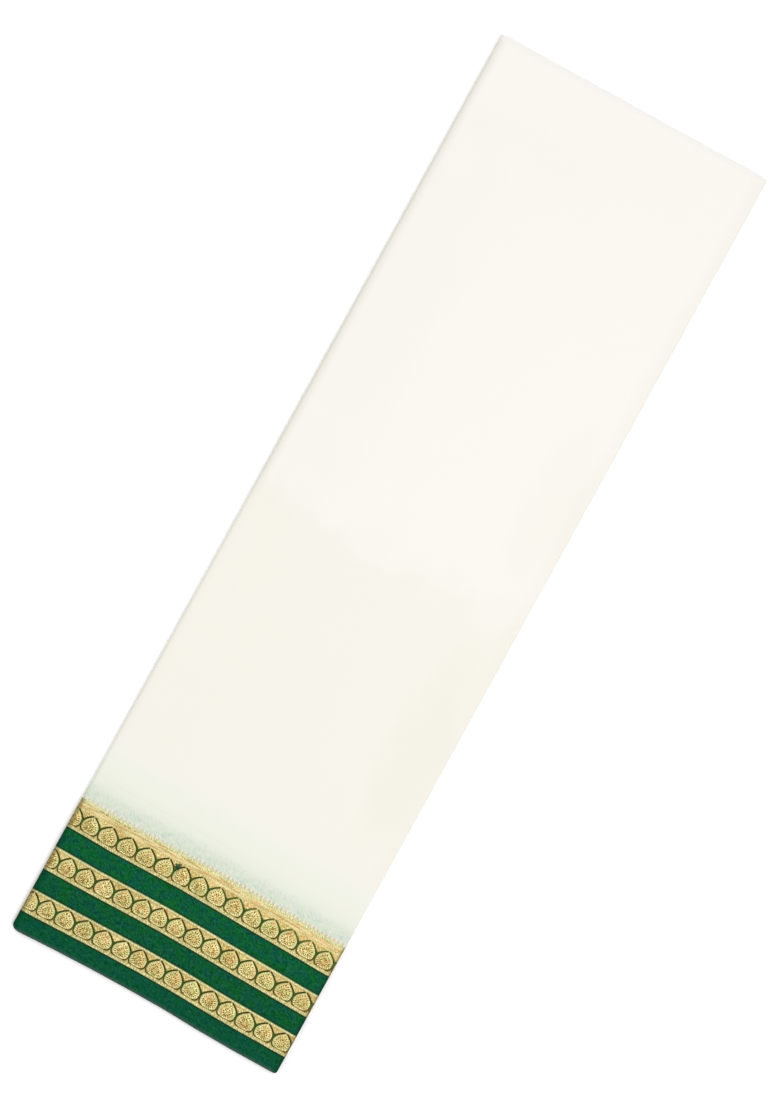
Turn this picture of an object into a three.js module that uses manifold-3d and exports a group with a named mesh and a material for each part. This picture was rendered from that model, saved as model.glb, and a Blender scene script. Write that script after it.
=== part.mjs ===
// A silk saree, folded in half four times into a long flat stack that lies on its back leaf.
// Millimetres. X runs across the stack, Y from the bordered hem to the plain selvedge, +Z is up.

import * as THREE from "three";
import { mergeVertices } from "three/addons/utils/BufferGeometryUtils.js";
import Module from "manifold-3d";

// The folded stack
const LENGTH = 1150; // the loom width of the cloth, which lies unfolded along the stack
const WIDTH = 342; // a sixteenth of the cloth's length, with its folds
const HEIGHT = 10; // sixteen layers of silk
const HEM_DROP = 2.5; // the hem's right-hand end reaches this far past its middle
const PRESSED_MIDDLE = 1.2; // the stack is this much lower between its folds

// The outer cloth, which goes once round the stack
const WALL = 1.2;
const LEFT_FOLD_RADIUS = HEIGHT / 2; // all sixteen layers turn here
const RIGHT_FOLD_RADIUS = HEIGHT / 4; // the upper eight layers turn here
const TUCK = 16; // the stretch that shows under the right-hand fold
const FREE_END_INSET = 2; // the cloth's end stops short of the right-hand fold
const SEAM = 0.3; // the parting between two stretches
const FACE_HALF = 150; // the level faces share their points across, out to here
const FACE_PITCH = 25;
const LEFT_FOLD_STEPS = 8;
const RIGHT_FOLD_STEPS = 6;

// The woven border: each band's height, counted from the hem
const BANDS = [
  { name: "green_hem_band", silk: "green", height: 22.3 },
  { name: "zari_band_lower", silk: "zari", height: 27.7 },
  { name: "green_band_middle", silk: "green", height: 24.4 },
  { name: "zari_band_middle", silk: "zari", height: 28.6 },
  { name: "green_band_upper", silk: "green", height: 24.7 },
  { name: "zari_band_upper", silk: "zari", height: 36.9 },
];
const BAND_PITCH = 15;
const BODY_PITCH = 58;
const BODY_END = 12; // the last shared row lies this far below the selvedge

// The border's run across the stack: how far its hem and its top lie off a straight line
const BORDER_BOW = [
  { across: -160, hem: -1.4, top: 1.5 },
  { across: -114, hem: 0, top: 0 },
  { across: -69, hem: 0.9, top: 0.3 },
  { across: -24, hem: 1.1, top: 0.7 },
  { across: 22, hem: 0.6, top: -0.5 },
  { across: 67, hem: -1.4, top: -1.9 },
  { across: 112, hem: -HEM_DROP, top: -3.1 },
  { across: 158, hem: -HEM_DROP, top: -4.8 },
];
const BOW_TOP = 127; // the height at which the second column was taken
const BOW_END = 420; // the cloth above this lies straight

// The hem's corners are worn round in plan
const LEFT_CORNER = 6.5;
const RIGHT_CORNER = 3.5;
const CORNER_REACH = 30;
const CORNER_STEPS = [0, 0.05, 0.2, 0.45, 1];

// Soft troughs in the front leaf, by their middles and half sizes
const SOFT_FORMS = [
  { across: 128, along: 389, halfAcross: 44, halfAlong: 165, rise: -1 },
  { across: 0, along: 590, halfAcross: 420, halfAlong: 60, rise: -0.7 },
  { across: -70, along: 1052, halfAcross: 105, halfAlong: 60, rise: -0.6 },
];

// The hidden layers, from the lowest leaf up. The insets run from the stack's own edges.
const LEAVES = [
  { bottom: 1.5, top: 2.7, left: 5.2, right: 1.7, hem: 1.7, selvedge: 1.4 },
  { bottom: 2.6, top: 3.7, left: 2.9, right: 1.3, hem: 0.8, selvedge: 0.7 },
  { bottom: 3.6, top: 4.7, left: 2.4, right: 1.4, hem: 2.1, selvedge: 1.8 },
  { bottom: 4.6, top: 6.6, left: 2.3, right: 19, hem: 1.1, selvedge: 0.9 },
  { bottom: 6.5, top: 7.6, left: 3.1, right: 2.3, hem: 1.9, selvedge: 1.6 },
  { bottom: 7.5, top: 8.5, left: 5.3, right: 2.3, hem: 0.9, selvedge: 0.8 },
];
const LEAF_EDGE = [
  { inset: 0, rise: 0.5 },
  { inset: 0.8, rise: 1 },
];

const SILKS = {
  cream: new THREE.MeshStandardMaterial({ color: 0xf6f3e8, roughness: 0.55, metalness: 0 }),
  green: new THREE.MeshStandardMaterial({ color: 0x105339, roughness: 0.6, metalness: 0 }),
  zari: new THREE.MeshStandardMaterial({ color: 0xd3be82, roughness: 0.42, metalness: 0.55 }),
};

const wasm = await Module();
wasm.setup();

// Even places from one end to the other, no further apart than the pitch.
function stations(from, to, pitch) {
  const steps = Math.max(1, Math.ceil(Math.abs(to - from) / pitch));
  return Array.from({ length: steps + 1 }, (_, i) => from + ((to - from) * i) / steps);
}

// A column of the bow table at a place across the stack, straight between its rows.
function bowAt(across, column) {
  const next = BORDER_BOW.findIndex((row) => row.across > across);
  if (next === 0) return BORDER_BOW[0][column];
  if (next < 0) return BORDER_BOW.at(-1)[column];
  const low = BORDER_BOW[next - 1];
  const high = BORDER_BOW[next];
  const share = (across - low.across) / (high.across - low.across);
  return THREE.MathUtils.lerp(low[column], high[column], share);
}

// How far the cloth lies off its straight place along the stack.
function borderBow(across, along) {
  const climb = THREE.MathUtils.clamp(along / BOW_TOP, 0, 1);
  const fade = 1 - THREE.MathUtils.smoothstep(along, BOW_TOP, BOW_END);
  return fade * THREE.MathUtils.lerp(bowAt(across, "hem"), bowAt(across, "top"), climb);
}

// How far a round hem corner draws the cloth in from its side.
function cornerInset(across, along) {
  const radius = across < 0 ? LEFT_CORNER : RIGHT_CORNER;
  const left = Math.max(0, radius - along);
  const nearness = Math.max(0, 1 - (WIDTH / 2 - Math.abs(across)) / CORNER_REACH);
  return nearness * (radius - Math.sqrt(radius * radius - left * left));
}

// How far the top of the stack lies above or below its flat height.
function softForm(across, along) {
  const side = Math.min(1, Math.abs(across) / (WIDTH / 2));
  let rise = -PRESSED_MIDDLE * (1 - side ** 4);
  for (const form of SOFT_FORMS) {
    const dx = (across - form.across) / form.halfAcross;
    const dy = (along - form.along) / form.halfAlong;
    const reach = Math.min(1, Math.hypot(dx, dy));
    rise += (form.rise * (1 + Math.cos(Math.PI * reach))) / 2;
  }
  return rise;
}

// A point of the straight stack, moved to where the laid cloth has it. The underside stays flat.
function laid(across, along, up) {
  return new THREE.Vector3(
    across - Math.sign(across) * cornerInset(across, along),
    along + borderBow(across, along),
    up + (up / HEIGHT) * softForm(across, along),
  );
}

// The closed solid between two grids of points, whose rows run along +Y and whose columns
// run round the section from right to left over the top.
function wallBetween(inside, outside) {
  const rows = outside.length;
  const columns = outside[0].length;
  const out = (row, column) => row * columns + column;
  const back = (row, column) => rows * columns + row * columns + column;
  const faces = [];
  const quad = (a, b, c, d) => faces.push(a, b, c, a, c, d);
  for (let r = 0; r < rows - 1; r++) {
    for (let c = 0; c < columns - 1; c++) {
      quad(out(r, c), out(r + 1, c), out(r + 1, c + 1), out(r, c + 1));
      quad(back(r, c), back(r, c + 1), back(r + 1, c + 1), back(r + 1, c));
    }
    const end = columns - 1;
    quad(out(r, 0), back(r, 0), back(r + 1, 0), out(r + 1, 0));
    quad(out(r, end), out(r + 1, end), back(r + 1, end), back(r, end));
  }
  for (let c = 0; c < columns - 1; c++) {
    const end = rows - 1;
    quad(out(0, c), out(0, c + 1), back(0, c + 1), back(0, c));
    quad(out(end, c), back(end, c), back(end, c + 1), out(end, c + 1));
  }
  const points = [...outside.flat(), ...inside.flat()];
  return new THREE.BufferGeometry().setFromPoints(points).setIndex(faces);
}

// One turn of the cloth's middle line round a fold, with the way out of the stack at each step.
function turn(across, up, radius, startDegrees, steps) {
  return stations(startDegrees, startDegrees + 180, 180 / steps).map((degrees) => {
    const angle = THREE.MathUtils.degToRad(degrees);
    const outward = new THREE.Vector2(Math.cos(angle), Math.sin(angle));
    return { across: across + radius * outward.x, up: up + radius * outward.y, outward };
  });
}

// Level points of the cloth's middle line at the given places across.
function level(acrosses, up, outwardUp) {
  const outward = new THREE.Vector2(0, outwardUp);
  return acrosses.map((across) => ({ across, up, outward }));
}

// The outer cloth's middle line, once round the stack from the tuck to the free end.
function clothPath() {
  const leftFold = -WIDTH / 2 + LEFT_FOLD_RADIUS;
  const rightFold = WIDTH / 2 - RIGHT_FOLD_RADIUS;
  const tuckUp = HEIGHT - 2 * RIGHT_FOLD_RADIUS + WALL / 2;
  const rightFoldUp = HEIGHT - RIGHT_FOLD_RADIUS;
  const face = stations(FACE_HALF, -FACE_HALF, FACE_PITCH);
  return [
    ...level([rightFold - TUCK], tuckUp, -1),
    ...turn(rightFold, rightFoldUp, RIGHT_FOLD_RADIUS - WALL / 2, -90, RIGHT_FOLD_STEPS),
    ...level(face, HEIGHT - WALL / 2, 1),
    ...turn(leftFold, LEFT_FOLD_RADIUS, LEFT_FOLD_RADIUS - WALL / 2, 90, LEFT_FOLD_STEPS),
    ...level([WIDTH / 2 - FREE_END_INSET], WALL / 2, -1),
  ];
}

// The cloth between two heights above the hem, as a wall that goes once round the stack.
function clothStretch(path, alongs) {
  const side = (offset) =>
    alongs.map((along) =>
      path.map((p) =>
        laid(p.across + offset * p.outward.x, along, p.up + offset * p.outward.y),
      ),
    );
  return wallBetween(side(-WALL / 2), side(WALL / 2));
}

// The places along one stretch, half a seam clear of its neighbours, with the corner's at the hem.
function stretchAlongs(bottom, top, pitch) {
  if (bottom > 0) return stations(bottom + SEAM / 2, top - SEAM / 2, pitch);
  const corner = CORNER_STEPS.map((share) => share * LEFT_CORNER);
  return [...corner.slice(0, -1), ...stations(LEFT_CORNER, top - SEAM / 2, pitch)];
}

// One leaf of the hidden layers, a flat wall with rounded sides.
function leafGeometry(leaf, selvedge) {
  const half = (leaf.top - leaf.bottom) / 2;
  const middle = (leaf.top + leaf.bottom) / 2;
  const right = WIDTH / 2 - leaf.right;
  const left = -WIDTH / 2 + leaf.left;
  const rightEdge = LEAF_EDGE.map((e) => ({ across: right - e.inset * half, rise: e.rise * half }));
  const leftEdge = LEAF_EDGE.map((e) => ({ across: left + e.inset * half, rise: e.rise * half }));
  const face = stations(FACE_HALF, -FACE_HALF, FACE_PITCH).map((across) => ({ across, rise: half }));
  const section = [...rightEdge, ...face, ...leftEdge.reverse()];
  const corner = CORNER_STEPS.map((share) => share * LEFT_CORNER).slice(0, -1);
  const alongs = [
    leaf.hem,
    ...corner.filter((along) => along > leaf.hem),
    ...stations(LEFT_CORNER, selvedge - BODY_END, BODY_PITCH),
    selvedge - leaf.selvedge,
  ];
  const side = (sign) =>
    alongs.map((along) => section.map((p) => laid(p.across, along, middle + sign * p.rise)));
  return wallBetween(side(-1), side(1));
}

// A geometry as a solid that can be joined.
function solidOf(geometry) {
  geometry.deleteAttribute("normal");
  geometry.deleteAttribute("uv");
  const merged = mergeVertices(geometry);
  return new wasm.Manifold(
    new wasm.Mesh({
      numProp: 3,
      vertProperties: merged.attributes.position.array,
      triVerts: new Uint32Array(merged.index.array),
    }),
  );
}

// A joined solid as a geometry again.
function geometryOf(solid) {
  const mesh = solid.getMesh();
  return new THREE.BufferGeometry()
    .setAttribute("position", new THREE.BufferAttribute(mesh.vertProperties, 3))
    .setIndex(new THREE.BufferAttribute(mesh.triVerts, 1));
}

// The hidden layers: every leaf joined into one solid, stepped at its edges.
function hiddenLayers(selvedge) {
  const leaves = LEAVES.map((leaf) => solidOf(leafGeometry(leaf, selvedge)));
  return geometryOf(leaves.reduce((stack, leaf) => stack.add(leaf)));
}

function addPiece(group, name, geometry, silk) {
  geometry.computeVertexNormals();
  const piece = new THREE.Mesh(geometry, SILKS[silk]);
  piece.name = name;
  group.add(piece);
}

function makeSaree() {
  const saree = new THREE.Group();
  const selvedge = LENGTH - HEM_DROP;
  const path = clothPath();
  let bottom = 0;
  for (const band of BANDS) {
    const top = bottom + band.height;
    const alongs = stretchAlongs(bottom, top, BAND_PITCH);
    addPiece(saree, band.name, clothStretch(path, alongs), band.silk);
    bottom = top;
  }
  const bodyAlongs = stations(bottom + SEAM / 2, selvedge, BODY_PITCH);
  addPiece(saree, "body_stretch", clothStretch(path, bodyAlongs), "cream");
  addPiece(saree, "hidden_layers", hiddenLayers(selvedge), "cream");
  saree.position.y = -(selvedge - HEM_DROP) / 2;
  return saree;
}

export default makeSaree();
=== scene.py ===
"""A silk saree folded for the shop, with its woven border, in a plain studio.

The cloth is one uncut length of silk, folded in half four times into sixteen layers. Each piece
of it is made as a flat slab of cloth first, and is then folded along the same path through the
stack. Sizes are in millimetres until a mesh is finished, which is in metres.
"""

from __future__ import annotations

import logging
import math
from dataclasses import dataclass, field, replace
from enum import Enum
from functools import cached_property
from typing import ClassVar, Sequence

import bmesh
import bpy
import numpy as np
from mathutils import Matrix, Vector


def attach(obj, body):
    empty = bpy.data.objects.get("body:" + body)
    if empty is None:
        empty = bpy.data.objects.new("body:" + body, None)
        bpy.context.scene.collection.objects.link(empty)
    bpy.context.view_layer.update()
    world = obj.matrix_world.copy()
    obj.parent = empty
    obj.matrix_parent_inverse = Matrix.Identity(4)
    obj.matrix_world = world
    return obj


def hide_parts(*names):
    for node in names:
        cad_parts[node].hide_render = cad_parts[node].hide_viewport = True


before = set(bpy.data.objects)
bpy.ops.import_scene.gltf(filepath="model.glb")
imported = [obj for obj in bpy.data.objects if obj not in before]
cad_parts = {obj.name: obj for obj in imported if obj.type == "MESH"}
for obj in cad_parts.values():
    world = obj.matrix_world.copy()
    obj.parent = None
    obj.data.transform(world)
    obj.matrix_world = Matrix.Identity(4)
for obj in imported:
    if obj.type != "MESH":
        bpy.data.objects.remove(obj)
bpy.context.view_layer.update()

MM = 0.001
BODY = "root"
CLOTH_MAP = "Cloth"
REPEAT_MAP = "Repeat"
BAKE_MAP = "OFBake"
STUDIO_LIGHT = 1.19  # how much brighter than itself a matt colour shows in the studio
HAIR = 1e-6  # a distance in millimetres that is too short to matter
NEAR_ZERO = 1e-4  # the least number raised to a power, and the slack in a face's middle

log = logging.getLogger("saree")


class Slot(Enum):
    """The record's material slots."""

    CREAM = "cream_silk"
    GREEN = "green_silk"
    GOLD = "gold_zari"


class Leaf(Enum):
    """The two faces of the stack that a crease can lie in."""

    FRONT = "front"
    BACK = "back"


# Sums that serve both arrays of numbers and the wires of a material


class Signal:
    """A number or a colour that travels along the wires of one material."""

    def __init__(self, wires: Wires, socket: bpy.types.NodeSocket) -> None:
        """Keeps the socket that the signal comes out of.

        Args:
            wires: The material's wires.
            socket: The output that carries the signal.
        """
        self.wires = wires
        self.socket = socket

    def _sum(self, operation: str, *terms: Number) -> Signal:
        """The signal and the terms put through one Math node."""
        return self.wires.math(operation, self, *terms)

    def __add__(self, other: Number) -> Signal:
        """Sum of two signals."""
        return self._sum("ADD", other)

    def __sub__(self, other: Number) -> Signal:
        """Difference of two signals."""
        return self._sum("SUBTRACT", other)

    def __mul__(self, other: Number) -> Signal:
        """Product of two signals."""
        return self._sum("MULTIPLY", other)

    def __truediv__(self, other: Number) -> Signal:
        """Quotient of two signals."""
        return self._sum("DIVIDE", other)

    def __pow__(self, other: Number) -> Signal:
        """The signal raised to a power."""
        return self._sum("POWER", other)

    def __abs__(self) -> Signal:
        """The signal without its sign."""
        return self._sum("ABSOLUTE")

    def __rsub__(self, other: Number) -> Signal:
        """A number less the signal."""
        return self.wires.math("SUBTRACT", other, self)

    __radd__ = __add__
    __rmul__ = __mul__


Number = float | Signal
Values = float | np.ndarray | Signal


def larger(first: Values, second: float) -> Values:
    """The larger of a field and a number."""
    if isinstance(first, Signal):
        return first.wires.math("MAXIMUM", first, second)
    return np.maximum(first, second)


def cosine(value: Values) -> Values:
    """The cosine of a field in radians."""
    return value.wires.math("COSINE", value) if isinstance(value, Signal) else np.cos(value)


def way_to(across: Values, up: Values) -> Values:
    """The way to a place in radians, with 0 straight up."""
    if isinstance(across, Signal):
        return across.wires.math("ARCTAN2", across, up)
    return np.arctan2(across, up)


def smooth(value: Values, low: float, high: float) -> Values:
    """How far a field has gone from low to high, eased at both ends.

    Args:
        value: The field.
        low: Where the result is 0.
        high: Where the result is 1. It may be below low.

    Returns:
        The field from 0 to 1.
    """
    if isinstance(value, Signal):
        return value.wires.smooth(value, low, high)
    share = np.clip((value - low) / (high - low), 0.0, 1.0)
    return share * share * (3.0 - 2.0 * share)


@dataclass(frozen=True)
class Ease:
    """An eased edge, from 0 where a field is at low to the share where it is at high."""

    low: float
    high: float
    share: float = 1.0

    def __call__(self, value: Values) -> Values:
        """How much of the edge a field has reached, from 0 to the share."""
        reached = smooth(value, self.low, self.high)
        return reached if self.share == 1.0 else reached * self.share


def seen(red: int, green: int, blue: int) -> tuple[float, float, float, float]:
    """A colour as the studio shows it, given in screen values of 0 to 255.

    Args:
        red: The red value.
        green: The green value.
        blue: The blue value.

    Returns:
        The cloth's own colour, in linear light.
    """

    def linear(screen: int) -> float:
        """One screen value in linear light."""
        share = screen / 255.0
        return share / 12.92 if share <= 0.04045 else ((share + 0.055) / 1.055) ** 2.4

    own = [linear(screen) / STUDIO_LIGHT for screen in (red, green, blue)]
    return (own[0], own[1], own[2], 1.0)


Colour = tuple[float, float, float, float]


class Wires:
    """The nodes of one material of the cloth, with a Principled shader at their end."""

    def __init__(self, name: str) -> None:
        """Starts the material, with the place on the cloth in millimetres.

        Args:
            name: The material's name.
        """
        self.material = bpy.data.materials.new(name)
        self.material.use_nodes = True
        self.tree = self.material.node_tree
        self.tree.nodes.clear()
        self.shader = self.tree.nodes.new("ShaderNodeBsdfPrincipled")
        output = self.tree.nodes.new("ShaderNodeOutputMaterial")
        self.tree.links.new(self.shader.outputs["BSDF"], output.inputs["Surface"])
        self.place, self.across, self.along = self.places(CLOTH_MAP, 1.0 / MM)

    @cached_property
    def slant(self) -> Signal:
        """The place on the cloth, turned by 45 degrees."""
        return self.joined(self.across + self.along, self.along - self.across)

    def put(self, socket: bpy.types.NodeSocket, value: Signal | float | Sequence[float]) -> None:
        """Links a signal to an input, or sets the input to a plain value."""
        if isinstance(value, Signal):
            self.tree.links.new(value.socket, socket)
        else:
            socket.default_value = value

    def math(self, operation: str, *terms: Number) -> Signal:
        """One Math node.

        Args:
            operation: The node's operation.
            terms: Its inputs, in order.

        Returns:
            The result.
        """
        node = self.tree.nodes.new("ShaderNodeMath")
        node.operation = operation
        for socket, term in zip(node.inputs, terms):
            self.put(socket, term)
        return Signal(self, node.outputs[0])

    def vector_math(self, operation: str, first: Signal, second: Sequence[float]) -> Signal:
        """One Vector Math node on a place and a plain vector of two numbers."""
        node = self.tree.nodes.new("ShaderNodeVectorMath")
        node.operation = operation
        self.put(node.inputs[0], first)
        node.inputs[1].default_value = (*second, 0.0)
        return Signal(self, node.outputs[0])

    def smooth(self, value: Signal, low: float, high: float) -> Signal:
        """The signal's eased way from low to high, from 0 to 1."""
        node = self.tree.nodes.new("ShaderNodeMapRange")
        node.interpolation_type = "SMOOTHSTEP"
        self.put(node.inputs["Value"], value)
        node.inputs["From Min"].default_value = low
        node.inputs["From Max"].default_value = high
        return Signal(self, node.outputs[0])

    def places(self, map_name: str, scale: float) -> tuple[Signal, Signal, Signal]:
        """A UV map of the piece.

        Args:
            map_name: The map's name.
            scale: What the map's values are multiplied by.

        Returns:
            The place as a vector, and its two numbers.
        """
        node = self.tree.nodes.new("ShaderNodeUVMap")
        node.uv_map = map_name
        place = self.vector_math("MULTIPLY", Signal(self, node.outputs[0]), (scale, scale))
        parts = self.tree.nodes.new("ShaderNodeSeparateXYZ")
        self.put(parts.inputs[0], place)
        return place, Signal(self, parts.outputs[0]), Signal(self, parts.outputs[1])

    def joined(self, first: Number, second: Number) -> Signal:
        """Two numbers as a place."""
        node = self.tree.nodes.new("ShaderNodeCombineXYZ")
        self.put(node.inputs[0], first)
        self.put(node.inputs[1], second)
        return Signal(self, node.outputs[0])

    def cloud(
        self, size: Sequence[float], detail: float = 1.0, place: Signal | None = None
    ) -> Signal:
        """Soft noise whose spots have the given size.

        Args:
            size: The spots' width and height, in millimetres.
            detail: How many finer layers the noise has.
            place: Where it is read, if not at the place on the cloth itself.

        Returns:
            The noise, from 0 to 1 and mostly near 0.5.
        """
        node = self.tree.nodes.new("ShaderNodeTexNoise")
        spread = self.vector_math("MULTIPLY", place or self.place, [1.0 / side for side in size])
        self.put(node.inputs["Vector"], spread)
        node.inputs["Scale"].default_value = 1.0
        node.inputs["Detail"].default_value = detail
        return Signal(self, node.outputs[0])

    def cells(self, place: Signal, size: float) -> Signal:
        """The distance to the nearest of a scatter of points that lie about size apart."""
        node = self.tree.nodes.new("ShaderNodeTexVoronoi")
        self.put(node.inputs["Vector"], place)
        node.inputs["Scale"].default_value = 1.0 / size
        return Signal(self, node.outputs["Distance"])

    def mix(self, share: Number, first: Signal | Colour, second: Signal | Colour) -> Signal:
        """Two colours mixed.

        Args:
            share: How much of the second shows.
            first: The first colour.
            second: The second colour.

        Returns:
            The mixed colour.
        """
        node = self.tree.nodes.new("ShaderNodeMix")
        node.data_type = "RGBA"
        self.put(node.inputs[0], share)
        self.put(node.inputs[6], first)
        self.put(node.inputs[7], second)
        return Signal(self, node.outputs[2])

    def ramp(self, value: Signal, stops: Sequence[tuple[float, Colour]]) -> Signal:
        """A colour that changes with a signal.

        Args:
            value: The signal.
            stops: The signal's values and the colour at each, in rising order.

        Returns:
            The colour.
        """
        low, high = stops[0][0], stops[-1][0]
        node = self.tree.nodes.new("ShaderNodeValToRGB")
        elements = node.color_ramp.elements
        while len(elements) < len(stops):
            elements.new(0.5)
        for element, (place, colour) in zip(elements, stops):
            element.position = (place - low) / (high - low)
            element.color = colour
        self.put(node.inputs[0], (value - low) / (high - low))
        return Signal(self, node.outputs[0])

    def raise_by(self, height: Signal, reach: float) -> None:
        """Gives the shader a fine relief.

        Args:
            height: The relief, in shares of its reach.
            reach: The height of a relief of 1, in millimetres.
        """
        node = self.tree.nodes.new("ShaderNodeBump")
        node.inputs["Strength"].default_value = 1.0
        node.inputs["Distance"].default_value = reach * MM
        self.put(node.inputs["Height"], height)
        self.tree.links.new(node.outputs[0], self.shader.inputs["Normal"])

    def dress(self, **inputs: Signal | float | Sequence[float]) -> bpy.types.Material:
        """Sets the shader's inputs, with underscores for the spaces in their names.

        Args:
            inputs: The inputs' values.

        Returns:
            The finished material.
        """
        for name, value in inputs.items():
            self.put(self.shader.inputs[name.replace("_", " ")], value)
        return self.material


# The folded stack


@dataclass(frozen=True)
class SoftForm:
    """A broad, shallow dish in the front leaf."""

    across: float
    along: float
    half_across: float
    half_along: float
    rise: float


@dataclass(frozen=True)
class Crease:
    """A soft trough or ridge between two places on one face of the stack."""

    leaf: Leaf
    start: tuple[float, float]
    end: tuple[float, float]
    half_width: float
    rise: float

    def lift(self, across: np.ndarray, along: np.ndarray) -> np.ndarray:
        """How far the crease lifts each place of its face.

        Args:
            across: The places across the stack.
            along: The places along it.

        Returns:
            The lift, below 0 in a trough.
        """
        run = np.subtract(self.end, self.start)
        off_across, off_along = across - self.start[0], along - self.start[1]
        share = (off_across * run[0] + off_along * run[1]) / (run @ run)
        held = np.clip(share, 0.0, 1.0)
        away = np.hypot(off_across - held * run[0], off_along - held * run[1])
        reach = np.clip(away / self.half_width, 0.0, 1.0)
        taper = np.sqrt(np.clip(4.0 * held * (1.0 - held), 0.0, 1.0))
        return self.rise * taper * (1.0 + np.cos(math.pi * reach)) / 2.0


@dataclass(frozen=True)
class Stack:
    """The sizes and the soft forms of the folded stack."""

    length: float = 1150.0
    width: float = 342.0
    height: float = 10.0
    layers: int = 16
    silk: float = 0.3
    hem_drop: float = 2.5
    pressed_middle: float = 1.2
    left_corner: float = 6.5
    right_corner: float = 3.5
    corner_reach: float = 30.0
    bow_across: tuple[float, ...] = (-160, -114, -69, -24, 22, 67, 112, 158)
    bow_hem: tuple[float, ...] = (-1.4, 0, 0.9, 1.1, 0.6, -1.4, -2.5, -2.5)
    bow_top: tuple[float, ...] = (1.5, 0, 0.3, 0.7, -0.5, -1.9, -3.1, -4.8)
    bow_height: float = 127.0
    bow_end: float = 420.0
    crease_edge: float = 16.0
    forms: tuple[SoftForm, ...] = (
        SoftForm(128, 389, 44, 165, -1.0),
        SoftForm(0, 590, 420, 60, -0.7),
        SoftForm(-70, 1052, 105, 60, -0.6),
    )
    creases: tuple[Crease, ...] = (
        Crease(Leaf.FRONT, (-152, 1010), (4, 1078), 15, -0.22),
        Crease(Leaf.FRONT, (-161, 668), (-62, 694), 11, -0.2),
        Crease(Leaf.FRONT, (-150, 722), (-84, 742), 8, 0.12),
        Crease(Leaf.FRONT, (141, 690), (163, 776), 9, -0.22),
        Crease(Leaf.FRONT, (112, 678), (166, 634), 9, -0.2),
        Crease(Leaf.FRONT, (-164, 574), (-40, 586), 10, -0.24),
        Crease(Leaf.FRONT, (-60, 590), (70, 596), 12, -0.2),
        Crease(Leaf.FRONT, (52, 592), (166, 578), 9, -0.24),
        Crease(Leaf.FRONT, (104, 300), (132, 452), 10, -0.2),
        Crease(Leaf.FRONT, (84, 236), (150, 282), 8, 0.1),
        Crease(Leaf.FRONT, (-158, 240), (-96, 300), 9, -0.12),
        Crease(Leaf.FRONT, (-20, 874), (62, 838), 12, -0.12),
        Crease(Leaf.FRONT, (70, 1110), (150, 1084), 10, -0.14),
        Crease(Leaf.FRONT, (-132, 456), (-118, 520), 8, 0.1),
        Crease(Leaf.BACK, (-150, 580), (20, 592), 14, 0.22),
        Crease(Leaf.BACK, (10, 590), (158, 576), 11, 0.2),
        Crease(Leaf.BACK, (-140, 300), (-60, 372), 12, 0.16),
        Crease(Leaf.BACK, (60, 930), (148, 1010), 14, 0.18),
        Crease(Leaf.BACK, (40, 420), (120, 380), 9, 0.12),
    )

    @property
    def selvedge(self) -> float:
        """The height of the plain selvedge above the hem."""
        return self.length - self.hem_drop

    @property
    def pitch(self) -> float:
        """The height from one layer to the next."""
        return (self.height - self.silk) / (self.layers - 1)

    def layer_up(self, layer: int) -> float:
        """The height of a layer's middle, with the front leaf as layer 1."""
        return self.silk / 2.0 + (self.layers - layer) * self.pitch

    def bow(self, across: np.ndarray, along: np.ndarray) -> np.ndarray:
        """How far the border lies off its straight place along the stack."""
        hem = np.interp(across, self.bow_across, self.bow_hem)
        top = np.interp(across, self.bow_across, self.bow_top)
        climb = np.clip(along / self.bow_height, 0.0, 1.0)
        fade = 1.0 - smooth(along, self.bow_height, self.bow_end)
        return fade * (hem + (top - hem) * climb)

    def corner_inset(self, across: np.ndarray, along: np.ndarray) -> np.ndarray:
        """How far a round hem corner draws the cloth in from its side."""
        radius = np.where(across < 0.0, self.left_corner, self.right_corner)
        left = np.clip(radius - along, 0.0, radius)
        near = np.maximum(0.0, 1.0 - (self.width / 2.0 - np.abs(across)) / self.corner_reach)
        return near * (radius - np.sqrt(radius**2 - left**2))

    def soft_form(self, across: np.ndarray, along: np.ndarray) -> np.ndarray:
        """How far the top of the stack lies above its flat height."""
        side = np.minimum(1.0, np.abs(across) / (self.width / 2.0))
        rise = -self.pressed_middle * (1.0 - side**4)
        for form in self.forms:
            off_across = (across - form.across) / form.half_across
            off_along = (along - form.along) / form.half_along
            reach = np.minimum(1.0, np.hypot(off_across, off_along))
            rise = rise + form.rise * (1.0 + np.cos(math.pi * reach)) / 2.0
        return rise

    def creased(self, across: np.ndarray, along: np.ndarray, up: np.ndarray) -> np.ndarray:
        """How far the creases lift each place, fading out through the layers and at the folds."""
        half = self.width / 2.0
        side = 1.0 - smooth(np.abs(across), half - self.crease_edge, half)
        level = np.clip(up / self.height, 0.0, 1.0)
        share = {Leaf.FRONT: level**3, Leaf.BACK: (1.0 - level) ** 3}
        lifts = [crease.lift(across, along) * share[crease.leaf] for crease in self.creases]
        return side * np.sum(lifts, axis=0)

    def laid(self, across: np.ndarray, along: np.ndarray, up: np.ndarray) -> np.ndarray:
        """Moves points of the straight stack to where the laid cloth has them.

        Args:
            across: The places across the stack.
            along: The heights above the hem.
            up: The heights above the surface that the stack lies on.

        Returns:
            The points in metres, one row each.
        """
        x = across - np.sign(across) * self.corner_inset(across, along)
        y = along + self.bow(across, along) - (self.selvedge - self.hem_drop) / 2.0
        soft = self.soft_form(across, along) * up / self.height
        z = up + soft + self.creased(across, along, up)
        return np.column_stack([x, y, z]) * MM


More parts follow.
